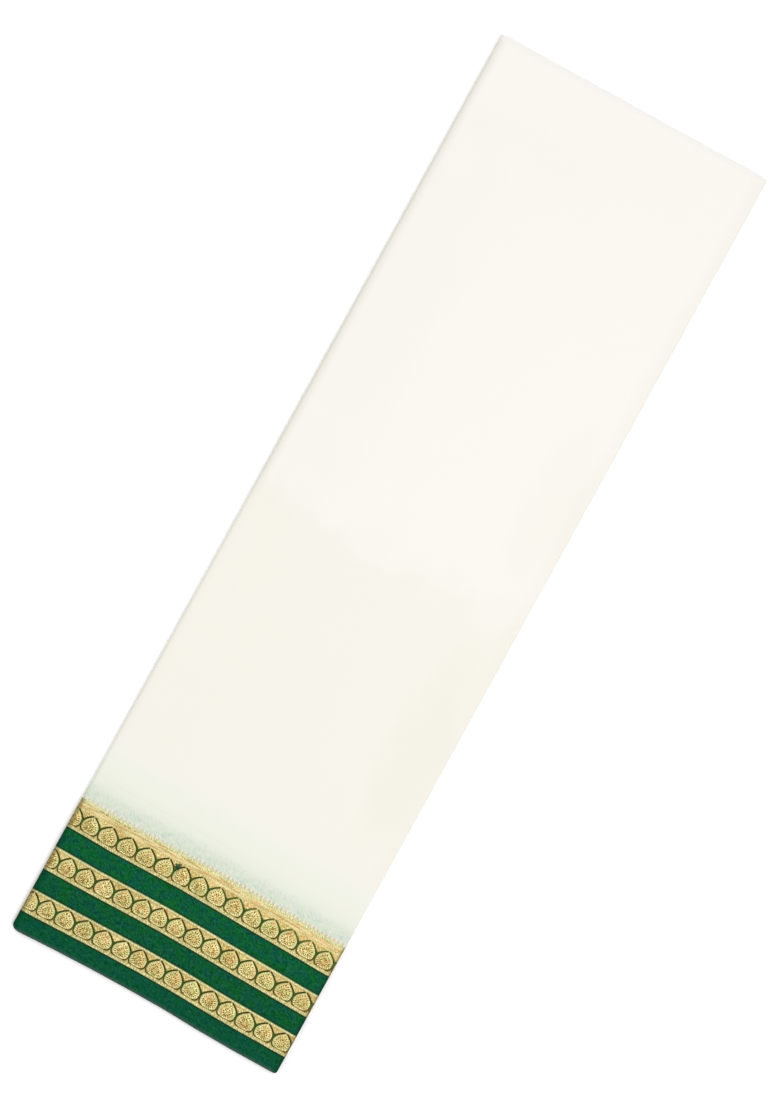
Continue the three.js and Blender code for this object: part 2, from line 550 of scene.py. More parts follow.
@dataclass(frozen=True)
class Run:
    """One level or turned run of the cloth's middle line, seen from the hem."""

    start: float
    length: float
    across: float
    up: float
    heading: int
    radius: float = 0.0
    climb: int = 0

    @property
    def end(self) -> float:
        """The distance along the cloth where the run ends."""
        return self.start + self.length

    def place(self, distance: np.ndarray) -> np.ndarray:
        """Places on the run.

        Args:
            distance: The distances along the cloth.

        Returns:
            Four rows: across and up of each place, and of the way out of the cloth's outer face.
        """
        gone = distance - self.start
        if not self.radius:
            level = np.zeros_like(gone)
            return np.stack(
                [self.across + self.heading * gone, self.up + level, level, self.heading + level]
            )
        sense = self.heading * self.climb
        angle = -self.climb * math.pi / 2.0 + sense * gone / self.radius
        ways = np.stack([np.cos(angle), np.sin(angle)])
        middle = np.array([[self.across], [self.up]])
        return np.concatenate([middle + self.radius * ways, -sense * ways])


@dataclass
class FoldedPath:
    """The cloth's way through the stack, from the free end of the back leaf to the inner free end.

    Distances along the cloth count from the middle of the front leaf, so that they are places
    across the stack there.
    """

    stack: Stack
    order: tuple[int, ...] = (16, 1, 8, 9, 12, 5, 4, 13, 14, 3, 6, 11, 10, 7, 2, 15)
    upper_inset: float = 0.0
    middle_inset: float = 1.0
    lower_inset: float = 1.7
    outer_end_inset: float = 2.0
    inner_end_inset: float = 3.1
    tuck: float = 16.0
    runs: list[Run] = field(default_factory=list)

    def __post_init__(self) -> None:
        """Walks the path once, run by run."""
        side = self.stack.width / 2.0
        heading, across, gone = -1, side - self.outer_end_inset, 0.0
        walked: list[Run] = []
        for here, there in zip(self.order, self.order[1:]):
            low, high = self.stack.layer_up(here), self.stack.layer_up(there)
            middle = self.left_fold() if heading < 0 else self.right_fold(here)
            level = Run(gone, abs(middle - across), across, low, heading)
            radius = abs(high - low) / 2.0
            climb = 1 if high > low else -1
            turn = Run(
                level.end, math.pi * radius, middle, (low + high) / 2.0, heading, radius, climb
            )
            walked += [level, turn]
            heading, across, gone = -heading, middle, turn.end
        end = side - self.inner_end_inset
        last_up = self.stack.layer_up(self.order[-1])
        walked.append(Run(gone, abs(end - across), across, last_up, heading))
        shift = self.left_fold() - walked[2].start
        self.runs = [replace(run, start=run.start + shift) for run in walked]

    def left_fold(self) -> float:
        """Where the middle of all the left-hand folds lies."""
        return -self.stack.width / 2.0 + self.stack.height / 2.0

    def right_fold(self, layer: int) -> float:
        """Where the middle of a layer's right-hand fold lies."""
        half = self.stack.layers // 2
        quarter = half // 2
        if layer <= half:
            inset, reach = self.upper_inset, (half - 1) / 2.0
        elif layer <= half + quarter:
            inset, reach = self.middle_inset, (quarter - 1) / 2.0
        else:
            inset, reach = self.lower_inset, 0.5
        return self.stack.width / 2.0 - inset - self.stack.silk / 2.0 - reach * self.stack.pitch

    @property
    def back(self) -> Run:
        """The back leaf."""
        return self.runs[0]

    @property
    def front(self) -> Run:
        """The front leaf."""
        return self.runs[2]

    @property
    def tuck_end(self) -> float:
        """Where the cloth under the right-hand fold goes out of sight."""
        return self.runs[3].end + self.tuck

    @property
    def cut_length(self) -> float:
        """The length of the whole cloth."""
        return self.runs[-1].end - self.runs[0].start

    def place(self, distance: np.ndarray) -> np.ndarray:
        """Places on the path, as Run.place gives them."""
        held = np.clip(distance, self.runs[0].start, self.runs[-1].end)
        on_run = np.searchsorted([run.start for run in self.runs[1:]], held)
        places = np.zeros((4, len(distance)))
        for index, run in enumerate(self.runs):
            on = on_run == index
            places[:, on] = run.place(held[on])
        return places


def stations(*spans: tuple[float, float, float]) -> np.ndarray:
    """Places along a line.

    Args:
        spans: The start, the end and the pitch of each stretch, which begins where the last ended.

    Returns:
        The places, even within each stretch and no further apart than its pitch.
    """
    places = [
        np.linspace(low, high, max(1, math.ceil(abs(high - low) / pitch)) + 1)[1:]
        for low, high, pitch in spans
    ]
    return np.concatenate([[spans[0][0]], *places])


# The border's woven repeat


@dataclass(frozen=True)
class Bud:
    """The outline of a bud: a squarish foot under a pointed tip."""

    widest: float
    half_width: float
    foot_reach: float
    foot_power: float
    tip_reach: float
    tip_power: float

    def swell(self, x: Values, y: Values) -> Values:
        """How far out a place lies: 0 at the bud's heart and 1 on its outline."""
        tip = larger(y - self.widest, NEAR_ZERO) / self.tip_reach
        foot = larger(self.widest - y, NEAR_ZERO) / self.foot_reach
        side = abs(x) / self.half_width
        power = self.foot_power
        return (side**power + foot**power) ** (1.0 / power) + tip**self.tip_power

    def outside(self, x: Values, y: Values) -> Values:
        """The rough distance of a place outside the outline, below 0 within it."""
        return (self.swell(x, y) - 1.0) * self.half_width


@dataclass(frozen=True)
class BeadRing:
    """A ring of small beads that follows a bud's outline at a distance."""

    bud: Bud
    count: int
    turned: float
    outside: float
    edge: Ease

    def tone(self, x: Signal, y: Signal, way: Signal, turn: Signal) -> Signal:
        """The light and dark of the beads.

        Args:
            x: The place across from the medallion's middle.
            y: The height above the band's foot.
            way: The way from the heart to the place, in radians.
            turn: How far the ring is turned, in radians.

        Returns:
            The tone, from 0 where there is no ring to plus or minus the share of its edge.
        """
        off = abs(self.bud.outside(x, y) - self.outside)
        return cosine(way * float(self.count) + turn * self.turned) * self.edge(off)


@dataclass(frozen=True)
class Medallion:
    """One repeat of a zari band: a bud-shaped medallion under an arch, with two buds inside it.

    Its two numbers are the place across from the medallion's middle and the height above the band's
    foot, both in millimetres.
    """

    pitch: float = 23.3
    rim: Bud = Bud(12.9, 10.3, 8.2, 3.6, 11.1, 1.85)
    collar: Bud = Bud(12.2, 7.2, 5.6, 2.4, 8.4, 1.6)
    heart: Bud = Bud(11.5, 4.1, 3.5, 1.8, 4.9, 1.5)
    heart_ring: BeadRing = BeadRing(heart, 10, -1.0, -0.2, Ease(1.5, 0.5))
    collar_ring: BeadRing = BeadRing(collar, 18, 1.0, 0.0, Ease(1.4, 0.5))
    rim_ring: BeadRing = BeadRing(rim, 22, -1.0, -1.3, Ease(1.2, 0.4, 0.5))
    bud_tone: float = 0.43
    core: Ease = Ease(-0.6, -1.6, 0.2)
    bud_foot: Ease = Ease(7.5, 5.5, 0.15)
    heart_line: Ease = Ease(1.4, 0.3, 1.05)
    collar_line: Ease = Ease(1.3, 0.3, 0.8)
    waist_stroke: float = 1.35
    shoulder_stroke: Ease = Ease(12.5, 16.5, 1.8)
    tip_stroke: Ease = Ease(20.5, 23.0, 0.5)
    stroke_inside: Ease = Ease(-0.35, 0.25)
    stroke_outside: Ease = Ease(0.3, -0.3)
    tip: Ease = Ease(20.5, 22.0, 0.75)
    beside_tip: Ease = Ease(0.2, 1.3)
    heel_across: Ease = Ease(6.0, 4.8)
    heel_up: Ease = Ease(8.0, 6.0)
    foot_bead: float = 2.2
    foot_beads: Ease = Ease(-0.5, 0.5, 0.5)
    outline_foot: Ease = Ease(3.4, 4.0)
    outline_top: Ease = Ease(25.4, 24.8)
    leaf: Ease = Ease(7.4, 6.6)
    leaf_slope: float = 1.5
    clear_of_rim: Ease = Ease(0.0, 0.5)
    under_arch: Ease = Ease(17.2, 16.2)
    ground_rise: float = 0.12
    dome: Ease = Ease(1.0, 0.35, 0.2)
    bud_rise: Ease = Ease(1.0, 0.95, 0.06)
    line_rise: Ease = Ease(0.5, 1.2, 0.06)
    line_end: Ease = Ease(4.0, 3.4)
    ground_sunk: float = 0.08
    outline_sunk: float = 0.16

    def buds(self, x: Values, y: Values) -> Values:
        """The light and dark of the nested buds, from about -1 to 1."""
        heart, collar = self.heart.outside(x, y), self.collar.outside(x, y)
        tone = self.bud_tone - self.core(heart) + self.bud_foot(y)
        return tone - self.heart_line(abs(heart)) - self.collar_line(abs(collar))

    def beads(self, x: Signal, y: Signal, turn: Signal) -> Signal:
        """The light and dark of the rings of beads, turned by an angle."""
        way = way_to(x, y - self.heart.widest)
        inner = self.heart_ring.tone(x, y, way, turn) + self.collar_ring.tone(x, y, way, turn)
        return inner + self.rim_ring.tone(x, y, way, turn)

    def stroke(self, y: Values) -> Values:
        """The width of the dark outline at a height: thin at the waist and strong over it."""
        return self.waist_stroke + self.shoulder_stroke(y) + self.tip_stroke(y)

    def foot_leaf(self, x: Values, y: Values) -> Values:
        """Where the pale leaf between two medallions' feet shows, from 0 to 1."""
        gap = self.pitch / 2.0 - abs(x)
        return self.leaf(gap * self.leaf_slope + y)

    def between(self, x: Values, y: Values) -> Values:
        """Where the dark ground between two medallions shows, under their arch, from 0 to 1."""
        outside = self.clear_of_rim(self.rim.outside(x, y))
        return outside * self.under_arch(y) * (1.0 - self.foot_leaf(x, y))

    def heel(self, x: Values, y: Values) -> Values:
        """How much of the outline is left along the medallion's foot, where beads break it."""
        beads = self.foot_beads(cosine(x * (2.0 * math.pi / self.foot_bead)))
        return 1.0 - self.heel_across(abs(x)) * self.heel_up(y) * (0.5 + beads)

    def outline(self, x: Values, y: Values) -> Values:
        """Where the dark outline shows, from 0 to 1."""
        out = self.rim.outside(x, y)
        drawn = self.stroke_inside(out) * self.stroke_outside(out - self.stroke(y))
        at_tip = self.tip(y) * (1.0 - self.beside_tip(abs(x)))
        drawn = drawn * (1.0 - at_tip) * self.heel(x, y) * (1.0 - self.foot_leaf(x, y))
        return drawn * self.outline_foot(y) * self.outline_top(y)

    def relief(self, x: np.ndarray, y: np.ndarray) -> np.ndarray:
        """The height of the woven pattern over its ground, in millimetres."""
        swell = self.rim.swell(x, y)
        line = self.line_rise(y) * self.line_end(y)
        raised = self.dome(swell) + self.buds(x, y) * self.bud_rise(swell) + line
        sunk = self.ground_sunk * self.between(x, y) + self.outline_sunk * self.outline(x, y)
        return self.ground_rise + raised - sunk


@dataclass(frozen=True)
class RepeatRow:
    """Where the medallions' middles lie along one band, as its row in the front leaf has them."""

    middles: tuple[float, ...] = (
        -168.4, -147.5, -123.9, -99.1, -75.5, -50.7, -30.0, -7.1,
        16.0, 38.9, 63.1, 86.2, 109.8, 134.1, 157.0,
    )
    pitch: float = 23.3
    shift: float = 0.0

    def count(self, distance: np.ndarray) -> np.ndarray:
        """The count of medallions up to a place, whole at each one's middle."""
        middles = np.array(self.middles) + self.shift
        among = np.interp(distance, middles, np.arange(len(middles), dtype=float))
        before = np.minimum(distance - middles[0], 0.0)
        after = np.maximum(distance - middles[-1], 0.0)
        return among + (before + after) / self.pitch


# What the finishes are made of


@dataclass(frozen=True)
class Spots:
    """Soft spots over the cloth: their size in millimetres and how they show."""

    size: tuple[float, float]
    shown: Ease
    detail: float = 1.0

    def __call__(self, wires: Wires, place: Signal | None = None) -> Signal:
        """Where the spots show, from 0 to their share."""
        return self.shown(wires.cloud(self.size, self.detail, place))


@dataclass(frozen=True)
class Tinge:
    """Spots of another colour, fine ones gathered in broad ones."""

    fine: tuple[float, float]
    broad: tuple[float, float]
    shown: Ease

    def __call__(self, wires: Wires, place: Signal | None = None) -> Signal:
        """Where the tinge shows, from 0 to its share."""
        both = wires.cloud(self.fine, place=place) + wires.cloud(self.broad, place=place)
        return self.shown(both * 0.5)


@dataclass(frozen=True)
class Threads:
    """The weave's crossing threads, as long thin spots of the given widths and heights."""

    weft: tuple[float, float]
    warp: tuple[float, float]
    warp_share: float = 1.0

    def __call__(self, wires: Wires) -> Signal:
        """The threads' light and dark, from 0 to about 2."""
        return wires.cloud(self.weft) + wires.cloud(self.warp) * self.warp_share


@dataclass(frozen=True)
class FoldShade:
    """Where shade is painted on the cloth on its way round the two folds of the stack."""

    into_left: Ease
    out_of_left: Ease
    into_right: Ease

    def left(self, wires: Wires) -> Signal:
        """The shade of the left-hand fold."""
        return self.into_left(wires.across) * self.out_of_left(wires.across)

    def right(self, wires: Wires) -> Signal:
        """The shade of the right-hand fold."""
        return self.into_right(wires.across)

    def both(self, wires: Wires) -> Signal:
        """The shade of both folds."""
        return self.left(wires) + self.right(wires)


@dataclass(frozen=True)
class Grain:
    """How strongly one grain of the gold shows on the ground and inside a medallion."""

    on_ground: float
    in_medallion: float

    def at(self, inside: Signal) -> Signal:
        """The strength at a place that is inside a medallion by a share."""
        return inside * (self.in_medallion - self.on_ground) + self.on_ground


@dataclass(frozen=True)
class ShadedPatch:
    """A broad, faintly darker patch of painted shade on the cream silk."""

    across: float
    along: float
    half_across: float
    half_along: float
    depth: float

    def away(self, wires: Wires) -> Signal:
        """The square of a place's distance from the middle, 1 at the patch's edge."""
        off_across = (wires.across - self.across) / self.half_across
        off_along = (wires.along - self.along) / self.half_along
        return off_across * off_across + off_along * off_along


# Finishes


@dataclass(frozen=True)
class CreamSilk:
    """Fine cream silk, warmer in its lower half, with a dyed haze over the border."""

    name: str = "cream silk"
    upper: Colour = seen(250, 247, 242)
    lower: Colour = seen(246, 243, 234)
    # painted shade for the broad patches and the right-hand fold, and also the colour of the fine
    # flecks
    shade: Colour = seen(240, 237, 224)
    # painted shade of the left-hand fold
    edge: Colour = seen(231, 229, 216)
    selvedge: Colour = seen(245, 244, 240)
    waver_size: tuple[float, float] = (46.0, 60.0)
    cross_fold: Ease = Ease(545.0, 600.0)
    cross_fold_waver: float = 90.0
    patches: tuple[ShadedPatch, ...] = (
        ShadedPatch(-130, 790, 60, 280, 0.24),
        ShadedPatch(-76, 1056, 84, 24, 0.14),
        ShadedPatch(140, 706, 38, 92, 0.3),
        ShadedPatch(132, 392, 36, 125, 0.6),
        ShadedPatch(-118, 380, 70, 170, 0.1),
    )
    patch_edge: Ease = Ease(1.5, 0.1)
    patch_waver: float = 1.6
    folds: FoldShade = FoldShade(
        Ease(-158.0, -170.0), Ease(-215.0, -180.0), Ease(150.0, 168.0, 0.35)
    )
    left_fold_shade_low: float = 0.15
    left_fold_shade_up: Ease = Ease(540.0, 600.0, 0.6)
    selvedge_line: Ease = Ease(1141.0, 1143.0, 0.7)

    haze: tuple[tuple[float, Colour], ...] = (
        (164.6, seen(221, 222, 197)),
        (170.0, seen(211, 219, 202)),
        (176.0, seen(215, 224, 208)),
        (186.0, seen(231, 236, 222)),
        (204.0, seen(239, 241, 228)),
        (228.0, seen(242, 243, 233)),
        (262.0, seen(247, 244, 235)),
    )
    haze_top: Ease = Ease(258.0, 226.0)
    turquoise: Colour = seen(178, 205, 190)
    mint: Colour = seen(206, 224, 190)
    lilac: Colour = seen(236, 234, 226)
    mint_spots: Spots = Spots((13.0, 7.0), Ease(0.42, 0.58), 2.0)
    mint_apart: tuple[float, float] = (300.0, 80.0)
    mottle_size: tuple[float, float] = (2.6, 7.0)
    lilac_mottle: Ease = Ease(0.5, 0.66, 0.85)
    mottled: Ease = Ease(0.0, 0.12, 0.85)
    mottled_top: Ease = Ease(192.0, 170.0)
    dye_line: Colour = seen(233, 234, 210)
    dye_line_up: float = 196.0
    dye_line_half: Ease = Ease(1.2, 0.3)
    dye_line_end: Ease = Ease(40.0, -10.0)
    dye_line_breaks: Spots = Spots((14.0, 30.0), Ease(0.4, 0.55, 0.6), 2.0)

    loop: Colour = seen(216, 196, 154)
    loop_spot: Colour = seen(172, 156, 92)
    loop_gap: Colour = seen(246, 240, 226)
    border_top: float = 164.6
    loop_pitch: float = 5.3
    loop_start: float = -1000.0
    loop_up: float = 1.6
    loop_edge: Ease = Ease(2.3, 1.7)
    loop_foot: Ease = Ease(0.9, 0.3)
    loop_heart: Ease = Ease(1.3, 0.5)
    loop_hearts: Spots = Spots((6.0, 6.0), Ease(0.4, 0.5, 0.8))
    loops_faint: float = 0.55
    loops_clear: Ease = Ease(-60.0, 20.0, 0.3)
    gap_across: Ease = Ease(1.7, 2.3)
    gap_up: Ease = Ease(2.6, 1.6, 0.85)

    threads: Threads = Threads((14.0, 0.45), (0.5, 11.0))
    crepe_size: tuple[float, float] = (1.6, 1.2)
    fleck: Ease = Ease(0.34, 0.6, 0.16)
    fleck_threads: float = 0.5
    fleck_crepe: float = 0.4
    thread_rise: float = 0.6
    bump: float = 0.045
    gloss_size: tuple[float, float] = (40.0, 55.0)
    gloss_spread: float = 0.12
    roughness: float = 0.5
    sheen: float = 0.12
    sheen_roughness: float = 0.45
    specular: float = 0.2

    def tint(self, wires: Wires) -> Signal:
        """The cloth's colour without the border's haze, with painted shade at its folds and in
        broad patches.
        """
        waver = wires.cloud(self.waver_size, 2.0) - 0.5
        over = self.cross_fold(wires.along + waver * self.cross_fold_waver)
        colour = wires.mix(over, self.lower, self.upper)
        # painted shade over the broad patches
        for patch in self.patches:
            away = patch.away(wires) + waver * self.patch_waver
            colour = wires.mix(self.patch_edge(away) * patch.depth, colour, self.shade)
        # painted shade round the left-hand fold, stronger in the upper half, then round the
        # right-hand fold
        left = self.folds.left(wires) * (self.left_fold_shade_up(wires.along) + self.left_fold_shade_low)
        colour = wires.mix(left, colour, self.edge)
        colour = wires.mix(self.folds.right(wires), colour, self.shade)
        return wires.mix(self.selvedge_line(wires.along), colour, self.selvedge)

    def hazed(self, wires: Wires, colour: Signal) -> Signal:
        """Lays the dyed haze and the dye line over the cloth's colour."""
        along = wires.along
        mottle = wires.cloud(self.mottle_size, place=wires.slant)
        apart = wires.vector_math("ADD", wires.place, self.mint_apart)
        spots = wires.mix(self.mint_spots(wires, apart), self.turquoise, self.mint)
        spots = wires.mix(self.lilac_mottle(mottle), spots, self.lilac)
        spotted = self.mottled_top(along) * self.mottled(abs(mottle - 0.5))
        haze = wires.mix(spotted, wires.ramp(along, self.haze), spots)
        colour = wires.mix(self.haze_top(along), colour, haze)
        line = self.dye_line_half(abs(along - self.dye_line_up)) * self.dye_line_end(wires.across)
        return wires.mix(line * self.dye_line_breaks(wires), colour, self.dye_line)

    def looped(self, wires: Wires, colour: Signal) -> Signal:
        """Lays the row of small woven loops along the top of the border over the colour."""
        beat = wires.math("PINGPONG", wires.across - self.loop_start, self.loop_pitch / 2.0)
        above = wires.along - self.border_top
        height = abs(above - self.loop_up)
        away = (beat * beat + height * height) ** 0.5
        foot = self.loop_foot(above)
        gold = wires.math("MAXIMUM", self.loop_edge(away), foot)
        heart = self.loop_heart(away) * self.loop_hearts(wires)
        shown = self.loops_clear(wires.across) + self.loops_faint
        gap = self.gap_across(beat) * self.gap_up(height) * (1.0 - foot)
        colour = wires.mix(gap * shown, colour, self.loop_gap)
        return wires.mix(gold * shown, colour, wires.mix(heart, self.loop, self.loop_spot))

    def material(self) -> bpy.types.Material:
        """Makes the finish."""
        wires = Wires(self.name)
        colour = self.looped(wires, self.hazed(wires, self.tint(wires)))
        threads = self.threads(wires)
        crepe = wires.cloud(self.crepe_size, 2.0)
        flecks = self.fleck(threads * self.fleck_threads + crepe * self.fleck_crepe)
        colour = wires.mix(flecks, colour, self.shade)
        wires.raise_by(threads * self.thread_rise + crepe, self.bump)
        gloss = wires.cloud(self.gloss_size, 2.0)
        return wires.dress(
            Base_Color=colour,
            Roughness=gloss * self.gloss_spread + (self.roughness - self.gloss_spread / 2.0),
            Sheen_Weight=self.sheen,
            Sheen_Roughness=self.sheen_roughness,
            Specular_IOR_Level=self.specular,
        )


@dataclass(frozen=True)
class GreenSilk:
    """Deep green silk with a faint tone-on-tone scroll, for one band of the border."""

    name: str
    foot: float
    height: float
    at_hem: bool = False
    darker: float = 0.0
    deep: Colour = seen(0, 54, 28)
    leaf: Colour = seen(0, 97, 34)
    teal: Colour = seen(0, 86, 64)
    curl: Colour = seen(42, 110, 82)
    seam: Colour = seen(30, 44, 10)
    # painted sheen along the hem's edge, where the cloth curls over
    hem: Colour = seen(64, 84, 80)
    # painted shade round the two folds of the stack
    fold: Colour = seen(4, 50, 30)
    hem_quiet: float = 0.5
    blots: Spots = Spots((16.0, 11.0), Ease(0.38, 0.62), 2.0)
    speck_size: tuple[float, float] = (5.4, 4.2)
    specks_shown: Ease = Ease(0.44, 0.66, 0.5)
    specks_under: float = 0.1
    bend_size: tuple[float, float] = (6.0, 6.0)
    bend_across: float = 9.0
    bend_along: float = -6.3
    scroll_cell: float = 12.0
    scroll_beat: float = 26.0
    scroll_line: Ease = Ease(0.3, 0.95, 0.3)
    hatch_size: tuple[float, float] = (1.9, 5.0)
    hatch_line: Ease = Ease(0.54, 0.7, 0.5)
    hatch: Ease = Ease(0.4, 0.6)
    top_seam: Ease = Ease(-1.6, -0.4, 0.9)
    foot_seam: Ease = Ease(1.4, 0.2, 0.9)
    hem_sheen_edge: Ease = Ease(5.8, 1.4, 0.8)
    hem_sheen_waver: float = 2.0
    folds: FoldShade = FoldShade(Ease(-163.0, -170.0), Ease(-215.0, -185.0), Ease(165.0, 170.0))
    fold_shade_share: float = 0.6
    threads: Threads = Threads((9.0, 0.5), (0.5, 9.0))
    thread_rise: float = 0.5
    scroll_rise: Ease = Ease(0.0, 1.0, 0.5)
    bump: float = 0.05
    roughness: float = 0.42
    gloss_spread: float = 0.16
    sheen: float = 0.01
    sheen_roughness: float = 0.5
    specular: float = 0.02

    def scroll(self, wires: Wires) -> Signal:
        """The tone-on-tone scroll: wavering rings round scattered points, from -1 to 1."""
        bend = wires.cloud(self.bend_size)
        across = wires.across + bend * self.bend_across
        bent = wires.joined(across, wires.along + bend * self.bend_along)
        return cosine(wires.cells(bent, self.scroll_cell) * self.scroll_beat)

    def material(self) -> bpy.types.Material:
        """Makes the finish."""
        wires = Wires(self.name)
        level = wires.along - self.foot
        quiet = self.hem_quiet if self.at_hem else 1.0
        specks = wires.cloud(self.speck_size, 2.0)
        scroll = self.scroll(wires)
        slanted = wires.cloud(self.hatch_size, place=wires.slant)
        colour = wires.mix(self.blots(wires) * quiet, self.teal, self.leaf)
        colour = wires.mix(self.specks_shown(specks) + self.specks_under, colour, self.deep)
        colour = wires.mix(self.darker, colour, self.deep)
        colour = wires.mix(self.scroll_line(scroll) * quiet, colour, self.curl)
        colour = wires.mix(self.hatch_line(slanted), colour, self.curl)
        hatch = self.hatch(slanted)
        colour = wires.mix(self.top_seam(level + hatch - self.height), colour, self.seam)
        if self.at_hem:
            # painted sheen along the hem, where its edge curls over
            hem_sheen = self.hem_sheen_edge(level + specks * self.hem_sheen_waver)
            colour = wires.mix(hem_sheen, colour, self.hem)
        else:
            colour = wires.mix(self.foot_seam(level - hatch), colour, self.seam)
        # painted shade round the two folds
        colour = wires.mix(self.folds.both(wires) * self.fold_shade_share, colour, self.fold)
        threads = self.threads(wires) * self.thread_rise
        wires.raise_by(threads + self.scroll_rise(scroll), self.bump)
        return wires.dress(
            Base_Color=colour,
            Roughness=specks * self.gloss_spread + (self.roughness - self.gloss_spread / 2.0),
            Sheen_Weight=self.sheen,
            Sheen_Roughness=self.sheen_roughness,
            Specular_IOR_Level=self.specular,
        )


@dataclass(frozen=True)
class WovenField:
    """What only the widest gold band has: a plain top, a paler right half and a green knot."""

    light: Colour = seen(226, 214, 162)
    dark: Colour = seen(174, 154, 92)
    peach: Colour = seen(222, 156, 104)
    faded_outline: Colour = seen(96, 118, 52)
    knot: Colour = seen(26, 66, 34)
    row_size: tuple[float, float] = (26.0, 2.3)
    grain_size: tuple[float, float] = (1.6, 1.5)
    grain_share: float = 0.9
    rows: Ease = Ease(0.76, 1.12)
    patches: Spots = Spots((9.0, 3.4), Ease(0.52, 0.7))
    patch_share: float = 0.4
    foot: Ease = Ease(25.0, 26.5)
    top: Ease = Ease(34.3, 34.0, 0.85)
    fade: Ease = Ease(-30.0, 70.0)
    fade_foot: Ease = Ease(17.0, 21.0)
    fade_top: Ease = Ease(34.0, 31.0, 0.3)
    outline_fade: Ease = Ease(17.0, 20.0, 0.7)
    dash_up: float = 33.3
    dash_half: Ease = Ease(0.9, 0.3)
    dash_end: Ease = Ease(-80.0, -98.0)
    dash_breaks: Spots = Spots((7.0, 20.0), Ease(0.46, 0.56, 0.5))
    knot_at: tuple[float, float] = (-38.4, 20.6)
    knot_half: tuple[float, float] = (4.3, 7.2)
    knot_ragged: tuple[float, float] = (2.4, 2.4)
    knot_waver: float = 3.4
    knot_edge: Ease = Ease(2.6, 1.9)

    def laid(
        self, wires: Wires, y: Signal, colour: Signal, dark: Signal, outline: Signal
    ) -> tuple[Signal, Signal, Signal]:
        """Changes a gold band's gold and its outlines.

        Args:
            wires: The material's wires.
            y: The height above the band's foot.
            colour: The gold so far.
            dark: The outlines' colour.
            outline: Where the outlines show.

        Returns:
            The changed gold, outline colour and outline.
        """
        rows, grain = wires.cloud(self.row_size), wires.cloud(self.grain_size)
        plain = wires.mix(self.rows(rows + grain * self.grain_share), self.dark, self.light)
        patches = self.patches(wires)
        plain = wires.mix(patches * self.patch_share, plain, self.peach)
        colour = wires.mix(self.foot(y) * self.top(y), colour, plain)
        faded = self.fade(wires.across)
        above = self.fade_foot(y) * self.fade_top(y)
        colour = wires.mix(faded * above * patches, colour, self.peach)
        dark = wires.mix(faded * self.outline_fade(y), dark, self.faded_outline)
        dash = self.dash_half(abs(y - self.dash_up)) * self.dash_end(wires.across)
        dash = dash * self.dash_breaks(wires)
        off_x = (wires.across - self.knot_at[0]) / self.knot_half[0]
        off_y = (y - self.knot_at[1]) / self.knot_half[1]
        ragged = wires.cloud(self.knot_ragged) * self.knot_waver
        knot = self.knot_edge(off_x * off_x + off_y * off_y + ragged)
        dark = wires.mix(knot, dark, self.knot)
        shown = wires.math("MAXIMUM", outline, wires.math("MAXIMUM", dash, knot))
        return colour, dark, shown


